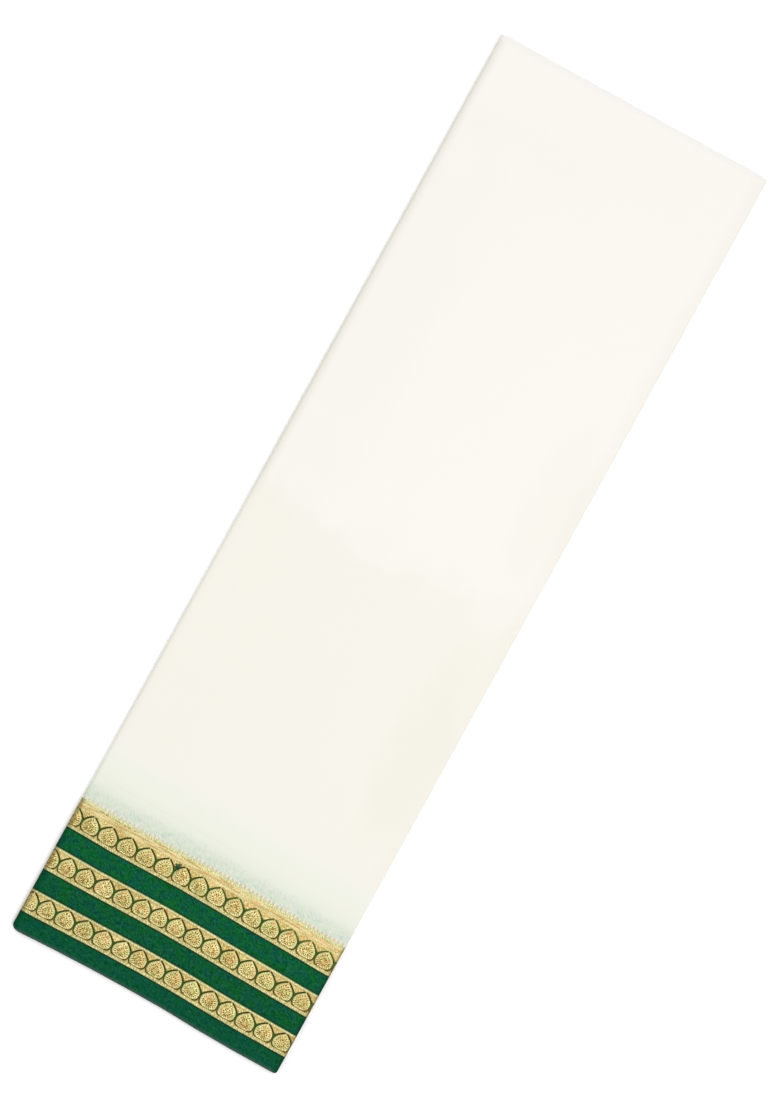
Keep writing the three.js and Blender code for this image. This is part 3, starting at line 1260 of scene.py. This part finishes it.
@dataclass(frozen=True)
class GoldZari:
    """Gold thread woven over green silk in a row of medallions, for one band of the border."""

    name: str
    foot: float
    height: float
    medallion: Medallion = Medallion()
    top_field: WovenField | None = None
    bright: Colour = seen(254, 241, 182)
    gold: Colour = seen(184, 162, 89)
    old_gold: Colour = seen(94, 74, 10)
    rim_gold: Colour = seen(184, 190, 134)
    peach: Colour = seen(222, 156, 104)
    pale_green: Colour = seen(164, 190, 112)
    foot_line: Colour = seen(190, 193, 144)
    inner_line: Colour = seen(196, 186, 126)
    top_line: Colour = seen(197, 206, 156)
    leaf: Colour = seen(170, 154, 96)
    under_line: Colour = seen(170, 144, 88)
    edge_green: Colour = seen(42, 84, 28)
    between: Colour = seen(124, 120, 58)
    outline: Colour = seen(66, 60, 0)
    outline_green: Colour = seen(54, 82, 22)
    # painted shade round the two folds of the stack
    fold: Colour = seen(104, 92, 44)

    rim_edge: Ease = Ease(0.1, -0.3)
    grain: Grain = Grain(2.7, 3.2)
    grain_size: tuple[float, float] = (1.2, 1.1)
    floats: Grain = Grain(2.6, 1.0)
    float_size: tuple[float, float] = (1.5, 4.6)
    dots: Grain = Grain(0.3, 1.5)
    dot_pitch: float = 2.1
    dot_middle: float = 0.42
    broad_size: tuple[float, float] = (24.0, 24.0)
    broad_share: float = 1.1
    chevron_beat: float = 2.6
    chevron_start: Ease = Ease(0.5, 2.0, 0.2)
    chevron_foot: Ease = Ease(16.5, 18.0)
    bead_turn: float = 2.4
    bead_share: float = 1.3
    ground_tone: float = 0.15
    rim_pale: Ease = Ease(-3.8, -1.6, 0.5)
    rim_pale_up: Ease = Ease(6.0, 9.0)
    warm: Tinge = Tinge((3.6, 3.0), (17.0, 12.0), Ease(0.49, 0.62, 0.3))
    cool: Tinge = Tinge((4.2, 3.4), (18.0, 12.0), Ease(0.49, 0.62, 0.28))
    cool_apart: tuple[float, float] = (90.0, 40.0)
    ground_floats: Ease = Ease(-0.1, 0.2, 0.4)
    leaf_grain: Ease = Ease(-0.1, 0.1, 0.28)
    leaf_foot: Ease = Ease(3.8, 4.4)

    foot_line_end: Ease = Ease(3.8, 3.2)
    inner_line_start: Ease = Ease(1.7, 2.3)
    top_line_start: Ease = Ease(-2.9, -2.3)
    under_line_down: float = 3.6
    under_line_half: Ease = Ease(1.0, 0.4, 0.6)
    shadow_across: Ease = Ease(7.5, 9.5, 0.2)
    shadow_up: Ease = Ease(1.8, 2.6)
    dash_size: tuple[float, float] = (1.5, 4.0)
    dark_dashes: Ease = Ease(0.52, 0.34, 0.5)
    bright_dashes: Ease = Ease(0.5, 0.66, 0.7)
    line_share: float = 0.9
    valley_across: Ease = Ease(6.5, 10.0, 0.8)
    valley_foot: Ease = Ease(8.0, 12.0)
    valley_top: Ease = Ease(21.0, 17.0)
    foot_seam: Ease = Ease(0.6, 0.2, 0.6)
    top_seam: Ease = Ease(-1.1, -0.6, 0.75)
    folds: FoldShade = FoldShade(Ease(-164.0, -170.0), Ease(-215.0, -185.0), Ease(166.0, 170.0))
    fold_shade_share: float = 0.5
    threads: Threads = Threads((6.0, 0.5), (0.7, 3.0), 0.6)
    bump_bead: float = 2.4
    bump: float = 0.09
    thread_rise: float = 0.6
    bead_rise: float = 0.8
    outline_sunk: float = 0.5
    metal: float = 0.4
    roughness: float = 0.3
    gloss_spread: float = 0.14
    specular: float = 0.06

    def woven(self, wires: Wires, nearest: Signal, x: Signal, y: Signal) -> Signal:
        """The gold of the medallions and of the ground round them, without the outlines.

        Args:
            wires: The material's wires.
            nearest: The number of the nearest medallion.
            x: The place across from the nearest medallion's middle.
            y: The height above the band's foot.

        Returns:
            The colour.
        """
        medallion = self.medallion
        out = medallion.rim.outside(x, y)
        inside = self.rim_edge(out)
        grain = wires.cloud(self.grain_size) - 0.5
        floats = wires.cloud(self.float_size, place=wires.slant) - 0.5
        dots = self.dot_middle - wires.cells(wires.place, self.dot_pitch)
        broad = wires.cloud(self.broad_size) - 0.5
        chevrons = cosine(out * self.chevron_beat) * self.chevron_start(out) * self.chevron_foot(y)
        beads = medallion.beads(x, y, nearest * self.bead_turn) * self.bead_share
        tone = (medallion.buds(x, y) + beads) * inside + self.ground_tone * (1.0 - inside)
        tone = tone + chevrons + broad * self.broad_share + dots * self.dots.at(inside)
        tone = tone + grain * self.grain.at(inside) + floats * self.floats.at(inside)
        colour = wires.ramp(tone, ((-1.0, self.old_gold), (0.0, self.gold), (1.0, self.bright)))
        pale = self.rim_pale(out) * self.rim_pale_up(y) * inside
        colour = wires.mix(pale, colour, self.rim_gold)
        colour = wires.mix(self.warm(wires), colour, self.peach)
        apart = wires.vector_math("ADD", wires.place, self.cool_apart)
        colour = wires.mix(self.cool(wires, apart), colour, self.pale_green)
        ground = wires.mix(self.ground_floats(floats), self.between, self.gold)
        colour = wires.mix(medallion.between(x, y), colour, ground)
        leaf = wires.mix(self.leaf_grain(grain), self.leaf, self.bright)
        return wires.mix(medallion.foot_leaf(x, y) * self.leaf_foot(y), colour, leaf)

    def lined(self, wires: Wires, x: Signal, y: Signal, colour: Signal) -> Signal:
        """Lays the plain lines along the band's foot and its top over the gold."""
        from_top = y - self.height
        if not self.top_field:
            under = self.under_line_half(abs(from_top + self.under_line_down))
            colour = wires.mix(under, colour, self.under_line)
        top_line = self.top_line_start(from_top)
        line = wires.mix(self.inner_line_start(y), self.foot_line, self.inner_line)
        line = wires.mix(self.shadow_across(abs(x)) * self.shadow_up(y), line, self.old_gold)
        line = wires.mix(top_line, line, self.top_line)
        dashes = wires.cloud(self.dash_size, place=wires.slant)
        line = wires.mix(self.dark_dashes(dashes), line, self.old_gold)
        line = wires.mix(self.bright_dashes(dashes), line, self.bright)
        lines = wires.math("MAXIMUM", self.foot_line_end(y), top_line)
        return wires.mix(lines * self.line_share, colour, line)

    def material(self) -> bpy.types.Material:
        """Makes the finish."""
        wires = Wires(self.name)
        _, count, _ = wires.places(REPEAT_MAP, 1.0)
        nearest = wires.math("FLOOR", count + 0.5)
        x = (count - nearest) * self.medallion.pitch
        y = wires.along - self.foot
        colour = self.lined(wires, x, y, self.woven(wires, nearest, x, y))
        outline = self.medallion.outline(x, y)
        valley = self.valley_across(abs(x)) * self.valley_foot(y) * self.valley_top(y)
        dark = wires.mix(valley, self.outline, self.outline_green)
        if self.top_field:
            colour, dark, outline = self.top_field.laid(wires, y, colour, dark, outline)
        colour = wires.mix(outline, colour, dark)
        colour = wires.mix(self.foot_seam(y), colour, self.outline)
        if not self.top_field:
            colour = wires.mix(self.top_seam(y - self.height), colour, self.edge_green)
        # painted shade round the two folds
        colour = wires.mix(self.folds.both(wires) * self.fold_shade_share, colour, self.fold)
        threads = self.threads(wires)
        beads = 0.5 - wires.cells(wires.place, self.bump_bead)
        raised = threads * self.thread_rise + beads * self.bead_rise
        wires.raise_by(raised - outline * self.outline_sunk, self.bump)
        return wires.dress(
            Base_Color=colour,
            Metallic=(1.0 - outline) * self.metal,
            Roughness=threads * self.gloss_spread + self.roughness,
            Specular_IOR_Level=self.specular,
        )


@dataclass(frozen=True)
class InnerSilk:
    """The same cloth inside the stack, where only its edges and folds show."""

    name: str = "inner silk"
    green: Colour = seen(16, 84, 56)
    gold: Colour = seen(196, 178, 112)
    haze: Colour = seen(222, 230, 214)
    cream: Colour = seen(246, 243, 234)
    shade: Colour = seen(232, 228, 214)
    dyes: tuple[tuple[float, Colour], ...] = (
        (190.0, haze),
        (164.6, gold),
        (127.7, green),
        (103.0, gold),
        (74.4, green),
        (50.0, gold),
        (22.3, green),
    )
    dye_edge: Ease = Ease(0.4, -0.4)
    patches: Spots = Spots((60.0, 40.0), Ease(0.4, 0.65, 0.4), 3.0)
    threads: Threads = Threads((14.0, 0.45), (0.5, 11.0))
    fleck: Ease = Ease(0.8, 1.3, 0.3)
    bump: float = 0.04
    roughness: float = 0.55
    sheen: float = 0.12

    def material(self) -> bpy.types.Material:
        """Makes the finish."""
        wires = Wires(self.name)
        colour = wires.mix(self.patches(wires), self.cream, self.shade)
        for top, dye in self.dyes:
            colour = wires.mix(self.dye_edge(wires.along - top), colour, dye)
        threads = self.threads(wires)
        colour = wires.mix(self.fleck(threads), colour, self.shade)
        wires.raise_by(threads, self.bump)
        return wires.dress(Base_Color=colour, Roughness=self.roughness, Sheen_Weight=self.sheen)


# The bake map


@dataclass(frozen=True)
class Strip:
    """One stretch of the cloth's face and the part of the bake map that it fills."""

    outer: bool
    start: float
    end: float
    corner: tuple[float, float]
    size: tuple[float, float]

    def covers(self, middle: np.ndarray, turned: np.ndarray) -> np.ndarray:
        """Which faces lie on the strip, from their middles and their normals' third number."""
        side = turned > 0.5 if self.outer else turned < -0.5
        return side & (middle > self.start) & (middle < self.end)


@dataclass(frozen=True)
class BakeLayout:
    """Shares a piece's bake map out: most of it to the front leaf, and little to what is hidden."""

    bottom: float
    top: float
    strips: tuple[Strip, ...]
    rim_corner: tuple[float, float]
    rim_size: tuple[float, float]

    map_end: ClassVar[float] = 0.98
    rim_depth: ClassVar[float] = 0.6
    band_margin: ClassVar[float] = 0.012
    band_rows: ClassVar[int] = 3
    tallest_row: ClassVar[float] = 0.25
    longest_row: ClassVar[float] = 0.95
    back_share: ClassVar[float] = 1.4
    inner_share: ClassVar[float] = 0.8
    tuck_width: ClassVar[float] = 0.08
    inner_start: ClassVar[float] = 0.11
    inner_width: ClassVar[float] = 0.88
    length_margin: ClassVar[float] = 0.006
    length_height: ClassVar[float] = 0.93
    length_widths: ClassVar[tuple[float, ...]] = (0.4, 0.36, 0.03, 0.17)

    @classmethod
    def of_band(
        cls, path: FoldedPath, columns: np.ndarray, bottom: float, top: float
    ) -> BakeLayout:
        """The layout of a low band, with its front leaf in three rows.

        Args:
            path: The cloth's path.
            columns: The band's places along the cloth.
            bottom: The height of its foot.
            top: The height of its top.

        Returns:
            The layout.
        """
        margin = cls.band_margin
        width = 1.0 - 2 * margin
        on_front = (columns > path.front.start - HAIR) & (columns < path.front.end + HAIR)
        front = columns[on_front]
        last = len(front) - 1
        cuts = [front[round(i * last / cls.band_rows)] for i in range(cls.band_rows + 1)]
        row_height = cls.longest_row / (cuts[1] - cuts[0]) * (top - bottom)
        row_height = min(cls.tallest_row, row_height)
        strips = []
        level = margin
        for low, high in zip(cuts, cuts[1:]):
            strips.append(Strip(True, low, high, (margin, level), (width, row_height)))
            level += row_height + margin
        rest = (1.0 - level - 3 * margin) / 3.0
        back_height, inner_height = cls.back_share * rest, cls.inner_share * rest
        first, end = columns[0], columns[-1]
        strips.append(Strip(True, first, cuts[0], (margin, level), (width, back_height)))
        level += back_height + margin
        tuck_size, inner_size = (cls.tuck_width, inner_height), (cls.inner_width, inner_height)
        strips.append(Strip(True, cuts[-1], end, (margin, level), tuck_size))
        strips.append(Strip(False, first, end, (cls.inner_start, level), inner_size))
        level += inner_height + margin
        return cls(bottom, top, tuple(strips), (margin, level), (width, cls.map_end - level))

    @classmethod
    def of_length(
        cls, path: FoldedPath, columns: np.ndarray, bottom: float, top: float
    ) -> BakeLayout:
        """The layout of a long stretch, with its front and back leaves side by side."""
        margin, tall = cls.length_margin, cls.length_height
        low, high = path.front.start, path.front.end
        first, end = columns[0], columns[-1]
        if first > low:
            spans = ((True, first, end), (False, first, end))
            widths = (0.5 - 1.5 * margin,) * 2
        else:
            spans = ((True, low, high), (True, first, low), (True, high, end), (False, first, end))
            widths = cls.length_widths
        strips = []
        x = margin
        for (outer, start, stop), width in zip(spans, widths):
            strips.append(Strip(outer, start, stop, (x, margin), (width, tall)))
            x += width + margin
        level = tall + 3 * margin
        rim_size = (1.0 - 2 * margin, cls.map_end - level)
        return cls(bottom, top, tuple(strips), (margin, level), rim_size)

    def places(
        self, faces: np.ndarray, face_of: np.ndarray, spots: np.ndarray, silk: float
    ) -> np.ndarray:
        """The place in the map of each corner of each face.

        Args:
            faces: The flat middle of each face, and its normal's third number.
            face_of: The face that each corner belongs to.
            spots: The flat place of each corner.
            silk: The cloth's thickness.

        Returns:
            Two numbers for each corner.
        """
        found = np.zeros((len(spots), 2))
        height = (spots[:, 1] - self.bottom) / (self.top - self.bottom)
        middle, turned = faces[face_of, 0], faces[face_of, 3]
        for strip in self.strips:
            on = strip.covers(middle, turned)
            share = (spots[:, 0] - strip.start) / (strip.end - strip.start)
            found[on, 0] = strip.corner[0] + share[on] * strip.size[0]
            found[on, 1] = strip.corner[1] + height[on] * strip.size[1]
        self._rims(found, faces[face_of], spots, silk)
        return found

    def _rims(
        self, found: np.ndarray, middle: np.ndarray, spots: np.ndarray, silk: float
    ) -> None:
        """Places the cloth's four cut edges, each in a narrow row of its own."""
        rim = np.abs(middle[:, 3]) < 0.5
        start, end = self.strips[-1].start, self.strips[-1].end
        run = (spots[:, 0] - start) / (end - start)
        climb = (spots[:, 1] - self.bottom) / (self.top - self.bottom)
        edges = (
            (middle[:, 1] < self.bottom + NEAR_ZERO, run),
            (middle[:, 1] > self.top - NEAR_ZERO, run),
            (middle[:, 0] < start + NEAR_ZERO, climb),
            (middle[:, 0] > end - NEAR_ZERO, climb),
        )
        row = self.rim_size[1] / len(edges)
        depth = (spots[:, 2] / silk + 0.5) * row * self.rim_depth
        for index, (at_edge, share) in enumerate(edges):
            on = rim & at_edge
            found[on, 0] = self.rim_corner[0] + share[on] * self.rim_size[0]
            found[on, 1] = self.rim_corner[1] + index * row + depth[on]


# The pieces


@dataclass
class ClothPiece:
    """A stretch of the cloth: a flat slab that is folded along the path."""

    name: str
    node: str
    slot: Slot
    path: FoldedPath
    bottom: float
    top: float
    finish: CreamSilk | GreenSilk | GoldZari | InnerSilk
    bend_pitch: float = 1.1
    sharp_angle: float = 50.0

    @property
    def stack(self) -> Stack:
        """The stack that the piece belongs to."""
        return self.path.stack

    def columns(self) -> np.ndarray:
        """The places along the cloth that its points have."""
        raise NotImplementedError

    def rows(self) -> np.ndarray:
        """The heights that its points have."""
        raise NotImplementedError

    def layout(self, columns: np.ndarray) -> BakeLayout:
        """How the piece fills its bake map."""
        return BakeLayout.of_length(self.path, columns, self.bottom, self.top)

    def relief(self, distance: np.ndarray, along: np.ndarray) -> np.ndarray:
        """How far the woven pattern stands out of the outer face."""
        return np.zeros_like(distance)

    def height_of(self, distance: np.ndarray, along: np.ndarray) -> np.ndarray:
        """The height of each flat place in the folded stack."""
        return along

    def slab(self, columns: np.ndarray, rows: np.ndarray) -> bpy.types.Mesh:
        """Makes the cloth as a flat slab.

        Args:
            columns: The places along the cloth.
            rows: The heights.

        Returns:
            The mesh, with the cloth's middle at a height of 0 and its outer face above.
        """
        bm = bmesh.new()
        last_column, last_row = len(columns) - 1, len(rows) - 1
        bmesh.ops.create_grid(bm, x_segments=last_column, y_segments=last_row, size=1.0)
        for vert in bm.verts:
            column = round((vert.co.x + 1.0) / 2.0 * last_column)
            row = round((vert.co.y + 1.0) / 2.0 * last_row)
            vert.co = (columns[column], rows[row], 0.0)
        bmesh.ops.solidify(bm, geom=bm.faces[:], thickness=self.stack.silk)
        bmesh.ops.recalc_face_normals(bm, faces=bm.faces[:])
        middle = sum(v.co.z for v in bm.verts) / len(bm.verts)
        bmesh.ops.translate(bm, verts=bm.verts[:], vec=(0.0, 0.0, -middle))
        mesh = bpy.data.meshes.new(self.name)
        bm.to_mesh(mesh)
        bm.free()
        return mesh

    @staticmethod
    def spots(mesh: bpy.types.Mesh, flat: np.ndarray) -> np.ndarray:
        """The flat place of each corner of each face."""
        corners = np.zeros(len(mesh.loops), dtype=np.int64)
        mesh.loops.foreach_get("vertex_index", corners)
        return flat[corners]

    @staticmethod
    def write_map(mesh: bpy.types.Mesh, name: str, places: np.ndarray) -> None:
        """Adds a UV map and fills it."""
        layer = mesh.uv_layers.new(name=name)
        layer.data.foreach_set("uv", np.ascontiguousarray(places, dtype=np.float32).ravel())

    def mapped(self, mesh: bpy.types.Mesh, flat: np.ndarray, columns: np.ndarray) -> None:
        """Gives the slab its UV maps while it is flat.

        Args:
            mesh: The flat slab.
            flat: Its points.
            columns: The places along the cloth.
        """
        spots = self.spots(mesh, flat)
        real = np.column_stack([spots[:, 0], self.height_of(spots[:, 0], spots[:, 1])])
        self.write_map(mesh, CLOTH_MAP, real * MM)
        faces = np.zeros((len(mesh.polygons), 3))
        turned = np.zeros((len(mesh.polygons), 3))
        mesh.polygons.foreach_get("center", faces.ravel())
        mesh.polygons.foreach_get("normal", turned.ravel())
        sides = np.zeros(len(mesh.polygons), dtype=np.int64)
        mesh.polygons.foreach_get("loop_total", sides)
        face_of = np.repeat(np.arange(len(mesh.polygons)), sides)
        laid_out = self.layout(columns).places(
            np.column_stack([faces, turned[:, 2]]), face_of, spots, self.stack.silk
        )
        self.write_map(mesh, BAKE_MAP, laid_out)

    def fold(self, mesh: bpy.types.Mesh, flat: np.ndarray) -> None:
        """Folds the slab along the path and lays it down.

        Args:
            mesh: The flat slab.
            flat: Its points.
        """
        distance = flat[:, 0]
        along = self.height_of(distance, flat[:, 1])
        across, up, out_across, out_up = self.path.place(distance)
        depth = flat[:, 2] + (flat[:, 2] > 0.0) * self.relief(distance, along)
        points = self.stack.laid(across + depth * out_across, along, up + depth * out_up)
        mesh.vertices.foreach_set("co", points.astype(np.float32).ravel())
        mesh.polygons.foreach_set("use_smooth", np.ones(len(mesh.polygons), dtype=bool))
        mesh.update()
        mesh.set_sharp_from_angle(angle=math.radians(self.sharp_angle))

    def build(self) -> bpy.types.Object:
        """Returns:
            The finished object.
        """
        columns, rows = self.columns(), self.rows()
        mesh = self.slab(columns, rows)
        flat = np.zeros((len(mesh.vertices), 3))
        mesh.vertices.foreach_get("co", flat.ravel())
        self.mapped(mesh, flat, columns)
        self.fold(mesh, flat)
        mesh.materials.append(self.finish.material())
        piece = bpy.data.objects.new(self.name, mesh)
        bpy.context.scene.collection.objects.link(piece)
        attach(piece, BODY)
        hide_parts(self.node)
        return piece


@dataclass
class OuterStretch(ClothPiece):
    """A stretch of the outer cloth, which goes once round the stack."""

    front_pitch: float = 4.0
    back_pitch: float = 6.0
    along_pitch: float = 4.0
    right_bend_share: float = 0.8
    tuck_pitch: float = 4.0
    corner_pitch: float = 0.5

    def columns(self) -> np.ndarray:
        """Fine on the front leaf and in the folds, and wider on the back leaf."""
        back, left, front, right = self.path.runs[:4]
        return stations(
            (back.start, back.end, self.back_pitch),
            (left.start, left.end, self.bend_pitch),
            (front.start, front.end, self.front_pitch),
            (right.start, right.end, self.bend_pitch * self.right_bend_share),
            (right.end, self.path.tuck_end, self.tuck_pitch),
        )

    def rows(self) -> np.ndarray:
        """Even heights, with more of them in the worn corners of the hem."""
        if self.bottom > 0.0:
            return stations((self.bottom, self.top, self.along_pitch))
        corner = self.stack.left_corner
        return stations((0.0, corner, self.corner_pitch), (corner, self.top, self.along_pitch))


@dataclass
class BorderBand(OuterStretch):
    """A band of the border."""

    def layout(self, columns: np.ndarray) -> BakeLayout:
        """How the band fills its bake map."""
        return BakeLayout.of_band(self.path, columns, self.bottom, self.top)


@dataclass
class GreenBand(BorderBand):
    """A band of plain green silk."""

    front_pitch: float = 1.6
    back_pitch: float = 3.2
    along_pitch: float = 1.6


@dataclass
class ZariBand(BorderBand):
    """A band of gold medallions, which stand a little out of the cloth."""

    front_pitch: float = 0.7
    back_pitch: float = 3.0
    along_pitch: float = 0.7
    repeat: RepeatRow = field(default_factory=RepeatRow)

    def relief(self, distance: np.ndarray, along: np.ndarray) -> np.ndarray:
        """The medallions' relief, on the front leaf and round its folds."""
        count = self.repeat.count(distance)
        medallion = self.finish.medallion
        x = (count - np.floor(count + 0.5)) * medallion.pitch
        shown = smooth(distance, self.path.back.end, self.path.front.start)
        return shown * medallion.relief(x, along - self.bottom)

    def mapped(self, mesh: bpy.types.Mesh, flat: np.ndarray, columns: np.ndarray) -> None:
        """Adds the map of the repeat to the cloth's own maps."""
        super().mapped(mesh, flat, columns)
        spots = self.spots(mesh, flat)
        counted = np.column_stack([self.repeat.count(spots[:, 0]), spots[:, 1] * MM])
        self.write_map(mesh, REPEAT_MAP, counted)


@dataclass(frozen=True)
class DrawnEnd:
    """How far one end of the inner layers lies inside the stack, as it wavers along the cloth."""

    mean: float
    waves: tuple[tuple[float, float, float], ...]

    def inset(self, distance: np.ndarray) -> np.ndarray:
        """The inset at each place, with each wave given by its reach, its length and its start."""
        waver = [reach * np.sin(distance / span + start) for reach, span, start in self.waves]
        return self.mean + np.sum(waver, axis=0)


@dataclass
class HiddenLayers(ClothPiece):
    """All the layers inside the outer cloth, folded as one strip."""

    leaf_pitch: float = 15.0
    fold_parts: float = 6.0
    finest_fold: float = 0.5
    border_top: float = 165.0
    corner_pitch: float = 1.7
    border_pitch: float = 12.0
    upper_pitch: float = 24.0
    hem_end: DrawnEnd = DrawnEnd(1.15, ((0.7, 233.0, 0.0), (0.25, 97.0, 1.0)))
    plain_end: DrawnEnd = DrawnEnd(1.2, ((0.7, 201.0, 2.0), (0.3, 83.0, 0.0)))

    def columns(self) -> np.ndarray:
        """Wide on the level leaves and finer in the folds."""
        spans = []
        for run in self.path.runs:
            low = max(run.start, self.path.tuck_end)
            fold_pitch = max(self.finest_fold, run.length / self.fold_parts)
            if run.end > low + HAIR:
                spans.append((low, run.end, fold_pitch if run.radius else self.leaf_pitch))
        return stations(*spans)

    def rows(self) -> np.ndarray:
        """Finer through the border, whose run is bowed, than over it."""
        corner = self.stack.left_corner
        return stations(
            (0.0, corner, self.corner_pitch),
            (corner, self.border_top, self.border_pitch),
            (self.border_top, self.top, self.upper_pitch),
        )

    def height_of(self, distance: np.ndarray, along: np.ndarray) -> np.ndarray:
        """Draws both ends of each layer a little way into the stack, each its own way."""
        hem, end = self.hem_end.inset(distance), self.plain_end.inset(distance)
        return hem + along / self.top * (self.top - hem - end)


@dataclass(frozen=True)
class Band:
    """What one band of the border is woven as, and its height."""

    node: str
    finish: str
    slot: Slot
    height: float
    darker: float = 0.0
    shift: float = 0.0
    top_field: WovenField | None = None


@dataclass
class Saree:
    """The whole saree, from the hem's green band to the plain selvedge."""

    path: FoldedPath = field(default_factory=lambda: FoldedPath(Stack()))
    border: tuple[Band, ...] = (
        Band("green_hem_band", "green silk at the hem", Slot.GREEN, 22.3, darker=0.2),
        Band("zari_band_lower", "lower gold zari", Slot.GOLD, 27.7, shift=2.4),
        Band("green_band_middle", "middle green silk", Slot.GREEN, 24.4, darker=0.2),
        Band("zari_band_middle", "middle gold zari", Slot.GOLD, 28.6),
        Band("green_band_upper", "upper green silk", Slot.GREEN, 24.7),
        Band("zari_band_upper", "upper gold zari", Slot.GOLD, 36.9, top_field=WovenField()),
    )

    def banded(self, band: Band, foot: float) -> BorderBand:
        """Makes one band of the border.

        Args:
            band: What the band is woven as.
            foot: The height of its foot.

        Returns:
            The piece.
        """
        place = (f"{band.node}_silk", band.node, band.slot, self.path, foot, foot + band.height)
        if band.slot is Slot.GREEN:
            green = GreenSilk(band.finish, foot, band.height, foot == 0.0, band.darker)
            return GreenBand(*place, green)
        zari = GoldZari(band.finish, foot, band.height, top_field=band.top_field)
        return ZariBand(*place, zari, repeat=RepeatRow(shift=band.shift))

    def pieces(self) -> list[ClothPiece]:
        """The saree's pieces, from the hem up."""
        made: list[ClothPiece] = []
        foot = 0.0
        for band in self.border:
            made.append(self.banded(band, foot))
            foot = made[-1].top
        cream, path, selvedge = Slot.CREAM, self.path, self.path.stack.selvedge
        return [
            *made,
            OuterStretch(
                "body_stretch_silk", "body_stretch", cream, path, foot, selvedge, CreamSilk()
            ),
            HiddenLayers(
                "hidden_layers_silk", "hidden_layers", cream, path, 0.0, selvedge, InnerSilk()
            ),
        ]

    def build(self) -> list[bpy.types.Object]:
        """Builds every piece and reports it."""
        made = [piece.build() for piece in self.pieces()]
        log.info("whole cloth: %.3f m long", self.path.cut_length * MM)
        return made


# The studio


@dataclass(frozen=True)
class Lamp:
    """A square soft light that points at the saree."""

    name: str
    place: tuple[float, float, float]
    size: float
    power: float
    colour: tuple[float, float, float] = (1.0, 1.0, 1.0)

    def build(self) -> bpy.types.Object:
        """Makes the light."""
        light = bpy.data.lights.new(self.name, "AREA")
        light.shape = "SQUARE"
        light.size = self.size
        light.energy = self.power
        light.color = self.colour
        lamp = bpy.data.objects.new(self.name, light)
        lamp.location = self.place
        lamp.rotation_euler = (-Vector(self.place)).to_track_quat("-Z", "Y").to_euler()
        bpy.context.scene.collection.objects.link(lamp)
        return lamp


@dataclass(frozen=True)
class Studio:
    """A pale floor, soft light and a camera straight above the saree."""

    turn: float = 28.8
    view_size: float = 1.249
    aim: tuple[float, float] = (0.0011, 0.00105)
    lens: float = 100.0
    sensor: float = 36.0
    face_up: float = 0.0095
    floor_size: float = 14.0
    floor_drop: float = 0.0003
    floor_roughness: float = 0.9
    floor_specular: float = 0.1
    floor_shade: tuple[float, float, float] = (0.99, 0.99, 0.99)
    sky: float = 0.63
    lamps: tuple[Lamp, ...] = (
        Lamp("key light", (1.2, -0.3, 3.6), 3.0, 79.0),
        Lamp("fill light", (-1.6, 1.2, 3.2), 2.6, 27.0),
    )

    def floor(self) -> bpy.types.Object:
        """Makes the plain floor, which isn't part of the saree."""
        bm = bmesh.new()
        bmesh.ops.create_grid(bm, x_segments=2, y_segments=2, size=self.floor_size / 2.0)
        bmesh.ops.translate(bm, verts=bm.verts[:], vec=(0.0, 0.0, -self.floor_drop))
        mesh = bpy.data.meshes.new("floor")
        bm.to_mesh(mesh)
        bm.free()
        material = bpy.data.materials.new("studio floor")
        material.use_nodes = True
        shader = material.node_tree.nodes["Principled BSDF"]
        shader.inputs["Base Color"].default_value = (*self.floor_shade, 1.0)
        shader.inputs["Roughness"].default_value = self.floor_roughness
        shader.inputs["Specular IOR Level"].default_value = self.floor_specular
        mesh.materials.append(material)
        floor = bpy.data.objects.new("floor", mesh)
        bpy.context.scene.collection.objects.link(floor)
        return floor

    def air(self) -> None:
        """Lights the whole room evenly."""
        world = bpy.data.worlds.new("studio")
        world.use_nodes = True
        background = world.node_tree.nodes["Background"]
        background.inputs["Color"].default_value = (1.0, 1.0, 1.0, 1.0)
        background.inputs["Strength"].default_value = self.sky
        bpy.context.scene.world = world
        bpy.context.scene.view_settings.view_transform = "Standard"

    def camera(self) -> bpy.types.Object:
        """Makes the camera, straight above the stack and turned as in the photograph."""
        lens = bpy.data.cameras.new("camera")
        lens.lens = self.lens
        lens.sensor_width = self.sensor
        away = self.view_size * self.lens / self.sensor
        camera = bpy.data.objects.new("camera", lens)
        place = Matrix.Translation((*self.aim, self.face_up + away))
        camera.matrix_world = place @ Matrix.Rotation(math.radians(self.turn), 4, "Z")
        bpy.context.scene.collection.objects.link(camera)
        bpy.context.scene.camera = camera
        return camera

    def build(self) -> None:
        """Sets the studio up."""
        self.floor()
        self.air()
        for lamp in self.lamps:
            lamp.build()
        self.camera()
        log.info("studio: %d lamps", len(self.lamps))


def main() -> None:
    """Builds the studio and the saree, in that order."""
    logging.basicConfig(level=logging.INFO, format="%(name)s: %(message)s")
    Studio().build()
    Saree().build()


if __name__ == "__main__":
    main()
